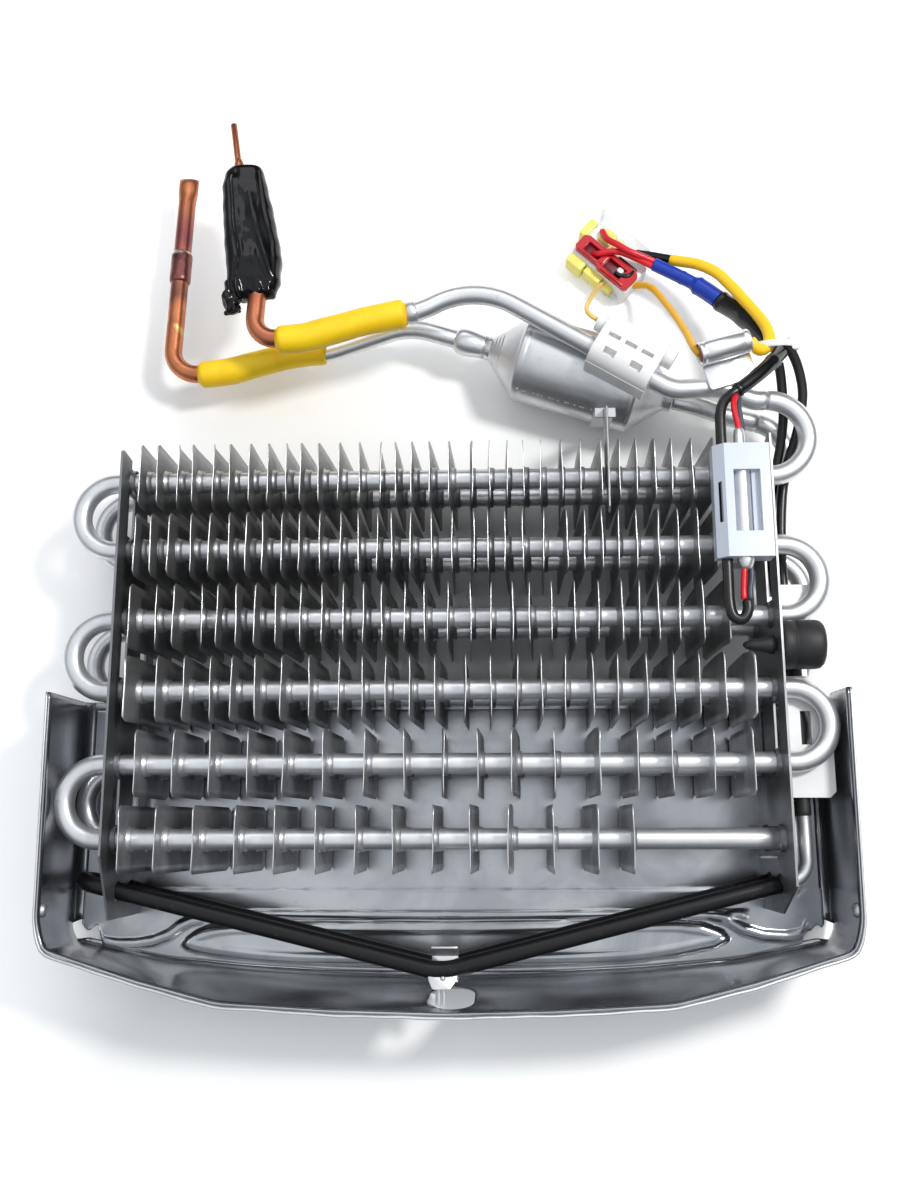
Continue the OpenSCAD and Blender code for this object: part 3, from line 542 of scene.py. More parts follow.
def foam_finish():
    """Yellow foam skin: smooth, with faint orange blotches, fine pores and a few soiled rubs."""
    look = Look("foam_skin", (1.0, 0.66, 0.004), 0.5)
    blotch = look.noise(70.0, 4.0, 0.6, 0.5)
    soil = look.noise(230.0, 4.0, 0.7).step(0.64, 0.76)
    colour = look.mix(blotch.step(0.35, 0.7), (1.0, 0.68, 0.004), (0.98, 0.60, 0.004))
    look.paint(look.mix(soil * 0.25, colour, (0.8, 0.5, 0.04)))
    look.feed("Roughness", 0.42 + blotch * 0.15)
    look.relief(look.noise(1100.0, 2.0) * 0.02 + blotch * 0.12, 1.0)
    return look


def copper_finish():
    """Copper with brazing heat marks: purple and dark on the riser round its coupling, a straw and
    green streak beside it, redder on the elbow, and brown blotches all over."""
    look = Look("copper_line", (0.80, 0.36, 0.18), 0.30, 0.95)
    up, cloud = look.axis("Y"), look.noise(55.0, 4.0, 0.6, 0.8)
    side = look.axis("Z")
    riser = 1 - side.step(0.027, 0.033)
    ragged = up + (cloud - 0.5) * 0.022
    colour = look.mix(cloud.step(0.35, 0.7), (0.60, 0.215, 0.10), (0.36, 0.12, 0.065))
    purple = ragged.band(0.262, 0.022) * riser
    colour = look.mix(purple * 0.85, colour, (0.20, 0.06, 0.08))
    dark = ragged.band(0.236, 0.012) * riser
    colour = look.mix(dark * 0.8, colour, (0.16, 0.07, 0.06))
    streak = (up + look.axis("X") * 0.9 + (cloud - 0.5) * 0.006).band(0.1135, 0.0028)
    straw = streak * riser * up.band(0.222, 0.016) * look.noise(120.0).step(0.3, 0.5)
    colour = look.mix(straw * 0.85, colour, (0.72, 0.55, 0.20))
    red = (1 - riser) * ragged.band(0.205, 0.03)
    colour = look.mix(red * 0.6, colour, (0.50, 0.17, 0.10))
    spots = look.noise(420.0, 4.0, 0.7).step(0.60, 0.72)
    look.paint(look.mix(spots * 0.5, colour, (0.20, 0.09, 0.06)))
    look.feed("Roughness", 0.24 + cloud * 0.25)
    look.relief(look.noise(700.0, 2.0) * 0.012 + cloud * 0.05, 1.0)
    return look


def coupling_finish():
    """Brazed coupling: heat-darkened copper with a silvery ring of braze at its upper mouth."""
    look = Look("coupling_copper", (0.42, 0.20, 0.15), 0.35, 1.0)
    up, cloud = look.axis("Y"), look.noise(140.0, 4.0, 0.65)
    ring = (up + (cloud - 0.5) * 0.004).band(0.2553, 0.0014)
    colour = look.mix(cloud.step(0.35, 0.7), (0.26, 0.10, 0.09), (0.10, 0.04, 0.045))
    look.paint(look.mix(ring * 0.9, colour, (0.66, 0.60, 0.52)))
    look.feed("Roughness", 0.22 + cloud * 0.3)
    look.relief(cloud * 0.2, 1.0)
    return look


def tape_finish():
    """Glossy black tape: soft wrinkles and a few dull, dusty patches."""
    look = Look("tape_wrap", (0.004, 0.004, 0.005), 0.14, Specular_IOR_Level=0.3)
    crease = look.noise(70.0, 3.0, 0.55, 1.0, stretch=(1.6, 0.7, 1), turn=-12.0)
    dust = look.noise(300.0, 4.0, 0.7).step(0.6, 0.78)
    look.paint(look.mix(dust * 0.2, (0.004, 0.004, 0.005), (0.03, 0.03, 0.032)))
    look.feed("Roughness", 0.10 + crease.step(0.4, 0.8) * 0.08 + dust * 0.2)
    look.relief(crease * 0.35, 1.0)
    return look


def rod_finish(name, colour, rough):
    """Black oxide on the heater: satin, faint drawing marks and paler rubbed spots."""
    look = Look(name, colour, rough, Specular_IOR_Level=0.3)
    marks = look.noise(60.0, 4.0, 0.6)
    rub = look.noise(300.0, 4.0, 0.7).step(0.62, 0.78)
    look.paint(look.mix(rub * 0.5, colour, (0.11, 0.11, 0.115)))
    look.feed("Roughness", rough + marks * 0.16)
    look.relief(look.noise(900.0, 2.0) * 0.012 + marks * 0.05, 1.0)
    return look


def fin_finish():
    """Fin sheet: dull mill aluminium with oil marks and pits, with painted shade towards the back
    and on the upper rows. The attribute edge is 1 along the cut front rim, which gets a painted
    highlight."""
    look = Look("fin_sheet", (0.50, 0.505, 0.52), 0.34, 0.8)
    edge = look.attribute("edge")
    cloud = look.noise(75.0, 4.0, 0.6, 0.4)
    pits = look.cells(260.0).step(0.0, 0.2)
    smear = look.noise(240.0, 4.0, 0.65).step(0.58, 0.74)
    colour = look.mix(cloud.step(0.3, 0.75), (0.62, 0.63, 0.65), (0.42, 0.425, 0.44))
    # Painted shade: darker towards the tray's back and on the rows above the tray
    deep = (1 - look.axis("Z").step(0.004, 0.05)).most(look.axis("Y").step(0.035, 0.075) * 0.8)
    colour = look.mix(deep * 0.75, colour, (0.16, 0.158, 0.155))
    colour = look.mix(smear * 0.4, colour, (0.26, 0.245, 0.23))
    colour = look.mix((1 - pits) * 0.4, colour, (0.2, 0.19, 0.18))
    # Painted highlight: the front rim is coloured near white
    look.paint(look.mix(edge, colour, (0.92, 0.92, 0.93)))
    look.feed("Roughness", 0.30 + cloud * 0.2 - edge * 0.1)
    look.relief(cloud * 0.12 + pits * 0.012, 1.0)
    return look


def tray_finish():
    """Tray sheet: bright mill finish with slow waves, drawing lines along X, water marks low down
    and small dents."""
    look = Look("tray_metal", (0.52, 0.535, 0.56), 0.22, 0.95)
    cloud = look.noise(22.0, 4.0, 0.55, 0.8)
    fine = look.noise(600.0, 2.0, stretch=(0.15, 1, 1))
    marks = look.noise(120.0, 5.0, 0.72, 0.5).step(0.62, 0.76)
    pits = look.cells(210.0).step(0.0, 0.15)
    low = 1 - look.axis("Y").step(-0.05, 0.0)
    colour = look.mix(cloud.step(0.3, 0.75), (0.48, 0.49, 0.51), (0.30, 0.31, 0.33))
    colour = look.mix(marks * (0.18 + low * 0.25), colour, (0.36, 0.35, 0.34))
    look.paint(look.mix((1 - pits) * 0.4, colour, (0.3, 0.28, 0.26)))
    look.feed("Roughness", 0.11 + cloud * 0.11 + fine * 0.07)
    look.relief(look.noise(16.0, 2.0, 0.5) * 0.9 + fine * 0.003 + pits * 0.01, 1.0)
    return look


# ---------------------------------------------------------------- cords

make_camera()

lead_black = wire_cover("lead_black", (0.008, 0.008, 0.009), 0.26, 0.06)
sleeve_black = wire_cover("sleeve_black_skin", (0.005, 0.005, 0.006), 0.12, 0.05)
sleeve_blue = wire_cover("sleeve_blue_skin", (0.0, 0.035, 0.38), 0.22, 0.06)
wire_red = wire_cover("wire_red_cover", (0.66, 0.006, 0.02), 0.26, 0.1)
wire_slate = wire_cover("wire_slate_cover", (0.045, 0.06, 0.085), 0.32)
lead_yellow = wire_cover("lead_yellow_sleeve", (1.0, 0.60, 0.012), 0.38)
lead_amber = wire_cover("lead_amber_cover", (0.80, 0.42, 0.012), 0.30)
lead_pale = wire_cover("lead_pale_cover", (0.80, 0.56, 0.16), 0.35)

# Middle lines of the cords, from the connector, the splice or the heater to where each one ends
RED_A = [[69.6, 265.9, 13.6], [71.5, 260.4, 16.4], [75.6, 256.2, 18.9], [80.4, 252.6, 19.6],
         [86.2, 250.6, 18.4], [91.7, 248.6, 17]]
RED_B = [[65.3, 255.6, 12.2], [67.6, 254.2, 14.6], [71.6, 254.4, 16], [77, 253.8, 16.6],
         [83.4, 250.7, 16.9], [87.1, 248.6, 17], [90.6, 246.6, 17]]
BLUE = [[91.2, 247.6, 17], [99, 243.3, 17], [107, 237.9, 18.5], [112.8, 233, 20],
        [118, 227.5, 22]]
BLACK = [[118, 227.5, 22], [120.1, 225.3, 22.8], [124.2, 219.4, 27.2], [128.2, 211.6, 32.6],
         [131.2, 203.9, 37.2], [133.2, 197.6, 41]]
SPLICE = [[136.8, 193.2, 44], [131.5, 186.6, 49.6], [125.4, 180.4, 53], [119, 175, 54.6],
          [115.6, 172.6, 55]]
SLEEVED = [[80.9, 256.5, 9], [84.6, 256.4, 9.6], [90.4, 254.4, 11.6], [101.3, 248.9, 17],
           [109.5, 244.4, 22], [116.4, 238.6, 25.6], [121.6, 231, 28.6], [126, 222.2, 32.6],
           [129.8, 213.2, 37.6], [132.2, 204.8, 42.4], [132.3, 198.2, 45.4], [129.8, 193.6, 47.6],
           [126.4, 192.2, 49.8], [122.8, 195.3, 51.6]]
THERMO = [[83.5, 241.5, 9], [89.6, 237.4, 15.5], [94.9, 223.6, 26], [99, 206.9, 39],
          [100.5, 197.4, 46.2], [101.4, 192.4, 50.2], [102.9, 189.7, 51.5]]
FUSE = [[70.4, 243.9, 8], [68.4, 241.6, 9.8], [66, 236.5, 16.4], [63.6, 230, 25],
        [61.2, 222.5, 34.5], [59, 215.4, 42.4], [59.6, 210.4, 46.4], [63.1, 207.3, 47]]
SENSOR = [[115.5, 172.5, 55], [113.2, 170.9, 55.3], [110.2, 167.6, 56.4], [108.5, 162.4, 57.2],
          [108.2, 154, 57.4], [108.2, 124, 57.4], [108.2, 96, 57.4], [108.2, 86.5, 57.8],
          [109.4, 81.8, 58], [112.6, 80.6, 58.2], [114.8, 84, 58.3], [114.8, 88, 58.3]]
LEAD_F = [[138, 66.1, 31], [138, 69, 31], [137.8, 77, 28.6], [136.9, 92, 27], [136.6, 112, 27],
          [138, 134, 27], [140.6, 149, 27.8], [145.2, 164, 30.6], [147.2, 177, 34.5],
          [145.8, 186, 38], [142.2, 193.4, 42], [137.8, 196.8, 44.5]]
LEAD_R = [[138, 14.6, 14], [138, 16.5, 14.4], [138, 21.5, 18.4], [138, 28, 22],
          [137.2, 48, 22.5], [136, 76, 22.5], [134, 102, 22.6], [133.8, 124, 22.7],
          [136.2, 144, 24], [139, 160, 27.6], [139.8, 172, 31.6], [138.2, 184, 37.4],
          [136.6, 190, 41]]
RED_TOP = [[114.9, 153.2, 58.6], [114.6, 158, 58.5], [113.8, 162.5, 58.2], [113.9, 167, 57.2],
           [115.2, 170.6, 55.6]]
RED_LOW = [[114.3, 102.2, 58.8], [113.9, 97, 58.6], [113.5, 92, 58.4], [113.5, 88.1, 58.4]]
DARK_LOW = [[116.5, 102.2, 58.4], [116.9, 97, 58.2], [116, 92, 58.2], [116, 88.1, 58.2]]
DARK_TOP = [[116, 153.2, 58], [116.4, 158, 57.5], [115.8, 164, 57], [116.6, 169.6, 55.2]]


def lead(name, route, diameter, look, node="", shape=None):
    """A round lead along a smooth curve through its route. Its centre line is given back too."""
    line = even(smooth(route), 1.2)
    grid = tube(line, diameter / 2, 16, shape, soft=0.2)
    return piece(name, [grid], look, (node,) if node else ()), line


def free_lead(name, route, diameter, look, node, shape=None):
    """A lead from its exit to its far end."""
    thing, line = lead(name, route, diameter, look, node, shape)


def swelling(first, last, collars=()):
    """Radius along a sleeve that grows evenly from first to last, with raised collars."""
    def shape(s, a):
        return first + (last - first) * s + bells(s, collars)
    return shape


def bells(s, collars):
    """Sum of height times e to the minus ((s - at) / width) squared over all collars."""
    return sum(height * np.exp(-(((s - at) / width) ** 2)) for at, width, height in collars)


def two_sizes(s, a):
    """Radius of the blue sleeve: a thin and a thick half, with two raised collars."""
    return 2.85 + 1.0 * rise(s, 0.56, 0.66) + bells(s, [(0.42, 0.02, 0.25), (0.65, 0.02, 0.3)])


def thin_start(s, a):
    """Share of the radius: the lead leaves its connector thin, and its yellow sleeve begins
    after the black one."""
    return 0.66 + 0.34 * rise(s, 0.186, 0.194)


def sleeve_piece(name, route, look, node, shape):
    """Shrunk sleeve along a route. Its shape gives the radius itself."""
    grid = tube(even(smooth(route), 0.8), 1.0, 24, shape, soft=0.25)
    return piece(name, [grid], look, (node,) if node else ())


blue = sleeve_piece("blue_sleeve_skin", BLUE, sleeve_blue, "blue_sleeve", two_sizes)
black = sleeve_piece("black_sleeve_skin", BLACK, sleeve_black, "black_sleeve",
                     swelling(4.35, 3.8, [(0.04, 0.03, 0.2), (0.45, 0.08, 0.25)]))
splice = sleeve_piece("splice_sleeve_skin", SPLICE, sleeve_black, "splice_sleeve",
                      swelling(3.1, 2.65, [(0.3, 0.05, 0.25), (0.97, 0.03, 0.35)]))
first_sleeve = sleeve_piece("lead_start_sleeve", SLEEVED[1:4], sleeve_black, "",
                            swelling(1.95, 2.15, [(0.06, 0.03, 0.2)]))

# The two red wires run on inside the blue and black sleeves to the cable tie
beside = np.array([0.0, 0.95, 0.0])
inside = np.array(BLUE[1:] + BLACK[1:-1])
free_lead("red_wire_outer", RED_A + (inside + beside).tolist(), 2.8, wire_red,
          "harness_wires")
free_lead("red_wire_inner", RED_B + (inside - beside).tolist(), 2.8, wire_red,
          "harness_wires")
free_lead("yellow_sleeved_lead", SLEEVED, 4.8, lead_yellow, "sleeved_lead",
          thin_start)
free_lead("amber_thermostat_lead", THERMO, 3.0, lead_amber, "thermostat_lead")
free_lead("pale_fuse_lead", FUSE, 2.0, lead_pale, "fuse_lead")
free_lead("black_sensor_lead", SPLICE[:-1] + SENSOR, 4.2, lead_black,
          "sensor_cable")
free_lead("black_heater_lead_front", LEAD_F, 4.0, lead_black, "heater_lead_front")
free_lead("black_heater_lead_rear", LEAD_R, 4.0, lead_black, "heater_lead_rear")

# Short tails at both ends of the capsule
for tail, route, size, look in [("red_tail_top", RED_TOP, 2.4, wire_red),
                                ("red_tail_low", RED_LOW, 2.4, wire_red),
                                ("slate_tail_low", DARK_LOW, 2.2, wire_slate),
                                ("slate_tail_top", DARK_TOP, 2.2, wire_slate)]:
    lead(tail, route, size, look, "sensor_red_wires")


# ---------------------------------------------------------------- coil

tube_metal = aluminium("tube_metal", (0.76, 0.77, 0.79), 0.28, stain=0.3, metal=0.85)
plate_metal = aluminium("plate_metal", (0.28, 0.285, 0.295), 0.36, 0.25, 25.0, 0.35)
shell_metal = aluminium("shell_metal", (0.66, 0.67, 0.69), 0.26, stain=0.2, brushed=(0.2, 1, 1),
                        metal=0.85)
bright_metal = aluminium("bright_metal", (0.70, 0.71, 0.73), 0.34, stain=0.2)
fin_metal = fin_finish()


def bank_path(z, low_x, top_x, top_angle, crossed):
    """Middle line of one bank: lowest row from the right, half turns left and right in turn, and
    the large half turn above the top row."""
    parts = []
    if crossed:
        parts.append(half_circle((CROSS_X, 0, Z_MID), BANK_HALF, -90, 90, "XZ"))
    else:
        parts.append(np.array([[low_x, 0.0, z]]))
    for k in range(ROWS - 1):
        y, left = k * ROW_PITCH, k % 2 == 0
        x = -BEND_X if left else BEND_X
        start, stop = (-90, -270) if left else (-90, 90)
        parts.append(half_circle((x, y + ROW_PITCH / 2, z), ROW_PITCH / 2, start, stop))
    parts.append(half_circle((top_x, TOP_Y + 16, z), 16, -90, -90 + top_angle, parts=28))
    return split(np.vstack(parts), 8)


piece("front_bank_tube", [tube(bank_path(Z_FRONT, CROSS_X, 130.9, 180, True), TUBE_R, 32)],
      tube_metal, ("front_coil_tube",))
piece("rear_bank_tube", [tube(bank_path(Z_REAR, CROSS_X - 0.5, 128.8, 165.6, False), TUBE_R, 28)],
      tube_metal, ("rear_coil_tube",))

# Fins of each row from the top: how many, and where the first and the last one stand
FIN_ROWS = [(32, -121.5, 105.5), (32, -121.5, 105.5), (29, -121, 108), (25, -120, 116),
            (17, -117.5, 115.5), (14, -122, 70)]


def curl_of(i, j):
    """Turn of a fin's front strip, as in the CAD model, degrees."""
    if (i, j) in ((1, 2), (1, 4)):
        return 10.0
    if (i, j) in ((3, 1), (3, 3)):
        return 12.0
    if i == 4 and j in (0, 24):
        return -9.0 if j == 0 else 16.0
    if i >= 5 and j > 9:
        return 7.0 * math.sin(math.radians(j * 97))
    return 5.0 if j % 5 == 3 else 0.0


def fin_lean(i, j):
    """How far a fin leans out of the upright, in radians."""
    return math.radians(2.2 * math.sin(math.radians(j * 57 + i * 83)) - 1.2)


def fin_grid(i, j, x, y):
    """Sheet over w, the way from back to front, and h, the way up. It leans by an angle, its front
    strip curls by another, low sines dent it, and its corners are cut by 2 mm."""
    lean, curl = fin_lean(i, j), math.radians(curl_of(i, j))
    w = np.r_[np.linspace(-FIN_HALF_DEPTH, 16, 9), np.linspace(18, FIN_HALF_DEPTH, 7)]
    half = FIN_HALF_HEIGHT - np.clip(np.abs(w) - (FIN_HALF_DEPTH - 2), 0, 2)
    h = np.linspace(-1, 1, 9)[None, :] * half[:, None]
    w = np.repeat(w[:, None], 9, 1)
    seed = i * 12.9898 + j * 78.233
    front = np.clip((w + 6) / 32, 0, 1)
    dent = 0.22 * np.sin(h / 7.3 + seed) + 0.08 * np.sin(h / 2.9 + seed * 1.7)
    tip = np.clip((h * np.sign(math.sin(seed * 3.1)) - 8.5) / 4.25, 0, 1) ** 2
    tip = tip * np.clip((w - 18) / 8, 0, 1) * (1.8 * (math.sin(seed * 5.3) > 0.8))
    past = np.clip(w - 17.5, 0, None)
    across = w * math.sin(lean) + past**1.15 * math.sin(curl) + dent * front**2 * 0.8 + tip
    grid = np.stack([x + across, y + h, Z_MID + w * math.cos(lean)
                     - past * (1 - math.cos(curl))], -1)
    edge = np.clip((w - 25.2) / 0.8, 0, 1)
    return grid, edge


def fin_collar(x, y, z):
    """Ring drawn from the fin round the tube, flared where it leaves the sheet."""
    profile = [(4.02, 0.0), (5.5, 0.12), (5.05, 0.35), (4.7, 0.8), (4.6, 2.3), (4.02, 2.4)]
    return turned(profile, (x, y, z), (1, 0, 0), 18)


collars = []
for i, (count, first_x, last_x) in enumerate(FIN_ROWS, 1):
    xs = np.linspace(first_x, last_x, count)
    made = [fin_grid(i, j, x, row_y(i)) for j, x in enumerate(xs)]
    piece("fins_%d" % i, [g for g, _ in made], fin_metal, ("fins_row_%d" % i,),
          around=False, closed=False, sheet=FIN_T,
          values={"edge": np.concatenate([e.ravel() for _, e in made])})
    collars += [fin_collar(x + s * math.sin(fin_lean(i, j)) * BANK_HALF, row_y(i),
                           Z_MID + s * BANK_HALF) for j, x in enumerate(xs) for s in (-1, 1)]
piece("fin_collars", collars, bright_metal)

from_cad("left_end_plate", plate_metal, 0.18)
from_cad("right_end_plate", plate_metal, 0.18)


# ---------------------------------------------------------------- tray

# Outlines of the tray at its back and at its rim, with x as a share of its half width
TRAY_BACK = mirrored([[-1, 57], [-1, -37], [-0.975, -43], [-0.74, -50], [-0.52, -53],
                      [-0.3, -55], [0, -56]])
TRAY_FRONT = mirrored([[-0.99, 56], [-0.985, -30], [-0.965, -41], [-0.74, -52], [-0.54, -60],
                       [-0.27, -62.5], [0, -63.5]])
# Lines of the pressed almond and of the S shaped beads on the panel
ALMOND_TOP = [[-109.2, -42.6], [-107.1, -39.3], [-103.3, -36.6], [-98.9, -34.8], [-94.5, -33.8],
              [-87.8, -33.1], [0, -32.6], [92, -32], [101.7, -33.2], [110.1, -36.1],
              [113.5, -40.2]]
ALMOND_LOW = [[-109.2, -42.6], [-106.3, -44.9], [-100.7, -46.2], [-91.7, -47.6], [-82.8, -48.6],
              [-71.7, -49.5], [-61.7, -50.1], [0, -51.6], [60.9, -49.7], [73.1, -49.1],
              [91.4, -46.7], [107.3, -43.4], [113.5, -40.2]]
S_LEFT = [[-143.4, -41], [-135.5, -42.2], [-127.7, -42], [-121, -40.9], [-114.4, -38.3],
          [-110.1, -35], [-105.7, -32.9], [-101.2, -32.1]]
S_RIGHT = [[105.5, -30.2], [112.7, -32.6], [118.6, -36.1], [126.9, -38.5], [136.6, -39],
           [143.9, -37.3]]

tray_scale = np.array([TRAY_HX, 1.0])
TRAY_SPANS = spans(np.array(TRAY_BACK) * tray_scale, 2.5)
base_line = soft_line(np.array(TRAY_BACK) * tray_scale, TRAY_SPANS, 2)
rim_line = soft_line(np.array(TRAY_FRONT) * tray_scale, TRAY_SPANS, 2)
along = unit(np.gradient((base_line + rim_line) / 2, axis=0))
tray_out = np.stack([along[:, 1], -along[:, 0]], 1)
last_q = len(base_line) - 1
q_all = np.arange(last_q + 1.0)
CORNER_Q = float(TRAY_SPANS[0])


def lower_share(q):
    """0 on the side walls and 1 on the lower wall, with a smooth change at the corners."""
    return rise(q, CORNER_Q - 2, CORNER_Q + 3) * (1 - rise(q, last_q - CORNER_Q - 3,
                                                           last_q - CORNER_Q + 2))


def fold_radius(q):
    return 4.6 - 1.4 * lower_share(q)


def relief_lift(q):
    """How far the wall's foot is cut away at the two corner reliefs."""
    cut_at = [rise(q, a - 2.6, a - 1.6) * (1 - rise(q, a + 1.6, a + 2.6)) for a in
              (CORNER_Q + 0.6, last_q - CORNER_Q - 0.6)]
    return 6.0 * (cut_at[0] + cut_at[1])


def wall_point(q, out, up):
    """Point of the wall at place q on the outline, out from its face and up from the back."""
    at = np.arange(len(base_line))
    base, rim, normal = (np.stack([np.interp(q, at, line[:, k]) for k in range(2)], -1)
                         for line in (base_line, rim_line, tray_out))
    flat = base + (rim - base) * (up / TRAY_DEPTH)[..., None] + unit(normal) * out[..., None]
    return np.concatenate([flat, up[..., None]], -1)


def bead(x, y, line, half, height):
    """Rounded ridge of the given half width along y = line(x)."""
    line = np.asarray(line, float)
    middle = np.interp(x, line[:, 0], line[:, 1])
    slope = np.gradient(middle, axis=0) / np.maximum(np.gradient(x, axis=0), 1e-6)
    gap = np.abs(y - middle) / np.sqrt(1 + slope**2)
    ends = rise(x, line[0, 0] - 2, line[0, 0] + 2) * (1 - rise(x, line[-1, 0] - 2, line[-1, 0] + 2))
    return height * ends * (1 - rise(gap, half * 0.35, half * 1.25))


def panel_height(x, y):
    """Inner face of the tray's back: flat, with a folded band at the top, a low step, the long
    bead, the pressed almond with a ridge inside its rim, and the S shaped beads."""
    z = np.full_like(x, TRAY_T - 0.04)
    z = z + 0.7 * rise(y, 53.9, 54.5) + 0.35 * rise(-y, 20.0, 20.9)
    z = z + bead(x, y, [[-114, -27.4], [-104, -29.6], [-92, -30.6], [100, -30.6], [120, -30.2]],
                 1.7, 0.75)
    inside = np.minimum(np.interp(x, *np.array(ALMOND_TOP).T, left=-99, right=-99) - y,
                        y - np.interp(x, *np.array(ALMOND_LOW).T, left=99, right=99))
    z = z + 1.25 * rise(inside, 0.0, 1.4) + 0.45 * np.exp(-(((inside - 3.4) / 1.2) ** 2))
    z = z + bead(x, y, S_LEFT, 1.9, 1.0) + bead(x, y, S_RIGHT, 1.9, 1.0)
    return z


def tray_panel():
    """Panel over x and y between the lower wall's foot and the top edge, finer where pressed. It
    runs 1 mm under the fold of the walls, and stops short of the corner reliefs."""
    foot = wall_point(q_all, 0.2 - fold_radius(q_all), np.full(len(q_all), TRAY_T))
    low = foot[foot[:, 1] < -34.0]
    x = np.linspace(low[:, 0].min(), low[:, 0].max(), 260)
    relief = rise(np.abs(x), 141.5, 144.5)
    y0 = np.interp(x, low[:, 0], low[:, 1])
    y0 = np.maximum(y0, y0 + (-35.6 + 1.2 * np.sin(x * 0.9) - y0) * relief)
    share = np.r_[np.linspace(0, 0.36, 52), np.linspace(0.36, 0.94, 22)[1:],
                  np.linspace(0.94, 1, 12)[1:]]
    y = y0[:, None] + (57 - y0)[:, None] * share[None, :]
    xx = np.repeat(x[:, None], len(share), 1)
    return np.stack([xx, y, panel_height(xx, y)], -1)


# Drain opening in the lower wall, and the window of the wall grid that is cut out round it
DRAIN_X, DRAIN_R, DRAIN_LOW, DRAIN_HIGH = 2.3, 9.25, 25.0, 35.0
WALL_UP = np.array([9.0, 12.0, 18.0, 25.0, 32.0, 40.0, 45.5, 49.3])
FOLD = np.radians(np.linspace(0, 90, 6))
LEVELS = len(FOLD) + len(WALL_UP)
DRAIN_Q = int(np.argmin(np.abs(base_line[:, 0] - DRAIN_X) + 1e3 * (base_line[:, 1] > -40)))
WINDOW_Q, WINDOW_K = (DRAIN_Q - 8, DRAIN_Q + 8), (len(FOLD) + 1, LEVELS - 1)


def wall_grid(q, k0, k1):
    """Inner face of the wall for the places q and the levels k0 to k1: a rounded fold out of the
    panel, then the flat wall with shallow dents."""
    q = np.asarray(q, float)
    r = fold_radius(q)[:, None]
    up = np.hstack([TRAY_T + r * (1 - np.cos(FOLD)), np.repeat(WALL_UP[None], len(q), 0)])
    out = np.hstack([-TRAY_T - r * (1 - np.sin(FOLD)), np.full((len(q), len(WALL_UP)), -TRAY_T)])
    lift = relief_lift(q)[:, None]
    out = np.where(up < lift, -TRAY_T, out)
    up = np.maximum(up, lift)[:, k0:k1 + 1]
    qq = np.repeat(q[:, None], up.shape[1], 1)
    return wall_point(qq, out[:, k0:k1 + 1] + wall_wave(qq, up), up)


def wall_wave(q, up):
    """Slow dents of the wall, none at its foot and rim."""
    hold = rise(up, 3.0, 12.0) * (1 - rise(up, 40.0, 47.0))
    return hold * (0.30 * np.sin(q * 0.21) * np.sin(up * 0.13 + q * 0.05)
                   + 0.18 * np.sin(q * 0.11 + 1))


def drain_window():
    """Ring of wall between the window's sides and the drain opening, which is a slot with round
    ends. Rings run in from the window to the slot."""
    (q0, q1), (k0, k1) = WINDOW_Q, WINDOW_K
    ks = WALL_UP[k0 - len(FOLD):k1 - len(FOLD) + 1]
    low, high = ks[0], ks[-1]
    qs = np.arange(q0, q1 + 1.0)
    frame_line = np.vstack([np.c_[qs, np.full(len(qs), low)],
                            np.c_[np.full(len(ks) - 1, q1), ks[1:]],
                            np.c_[qs[::-1][1:], np.full(len(qs) - 1, high)],
                            np.c_[np.full(len(ks) - 2, q0), ks[::-1][1:-1]]])
    near = slice(q0, q1 + 1)
    q_slot = np.interp(DRAIN_X, base_line[near, 0], q_all[near])
    per_mm = 1 / np.gradient(base_line[:, 0])[DRAIN_Q]
    mid_up = (DRAIN_LOW + DRAIN_HIGH) / 2
    a = np.arctan2(frame_line[:, 1] - mid_up, (frame_line[:, 0] - q_slot) / per_mm)
    # a slot's rim from its middle: straight sides, round ends above and below
    half = (DRAIN_HIGH - DRAIN_LOW) / 2
    dx, dy = np.cos(a), np.sin(a)
    side = DRAIN_R / np.maximum(np.abs(dx), 1e-6)
    cap = half * np.abs(dy) + np.sqrt(np.maximum(DRAIN_R**2 - (half * dx) ** 2, 0))
    reach = np.where(np.abs(dy) * side <= half, side, cap)
    slot_line = np.c_[q_slot + dx * reach * per_mm, mid_up + dy * reach]
    share = np.array([0, 0.3, 0.6, 0.85, 1.0])[:, None, None]
    both = frame_line[None] * (1 - share) + slot_line[None] * share
    q, up = both[..., 0], both[..., 1]
    return wall_point(q, np.full_like(q, -TRAY_T) + wall_wave(q, up), up)[:, ::-1]


tray_metal = tray_finish()
top_k = LEVELS - 1
piece("tray_back", [tray_panel()], tray_metal, ("drip_tray",), around=False,
      closed=False, sheet=-(TRAY_T - 0.04))
piece("tray_walls", [wall_grid(np.arange(0, WINDOW_Q[0] + 1), 0, top_k),
                     wall_grid(np.arange(WINDOW_Q[1], last_q + 1), 0, top_k),
                     wall_grid(np.arange(WINDOW_Q[0], WINDOW_Q[1] + 1), 0, WINDOW_K[0]),
                     drain_window()], tray_metal, ("drip_tray",),
      around=[False, False, False, True], closed=False, sheet=TRAY_T)


def tray_hem():
    """Edge of the walls: a thin rounded band on the sides that grows to a rolled hem along the
    lower wall, closed at its two ends."""
    a = np.linspace(0, 2 * np.pi, 12, endpoint=False)
    share = lower_share(q_all)[:, None]
    half, tall = 0.46 + 0.22 * share, 0.5 + 0.55 * share
    round_x = np.sign(np.cos(a)) * np.abs(np.cos(a)) ** 0.7
    round_y = np.sign(np.sin(a)) * np.abs(np.sin(a)) ** 0.7
    wobble = 0.08 * np.sin(q_all * 0.9)[:, None] + 0.08 * np.sin(q_all * 0.31)[:, None]
    out = -0.4 + 0.42 * share + half * round_x + wobble * share
    up = 49.95 - tall + tall * round_y
    return capped(wall_point(np.repeat(q_all[:, None], 12, 1), out, up))


piece("tray_rolled_edge", [tray_hem()], bright_metal, ("drip_tray",))


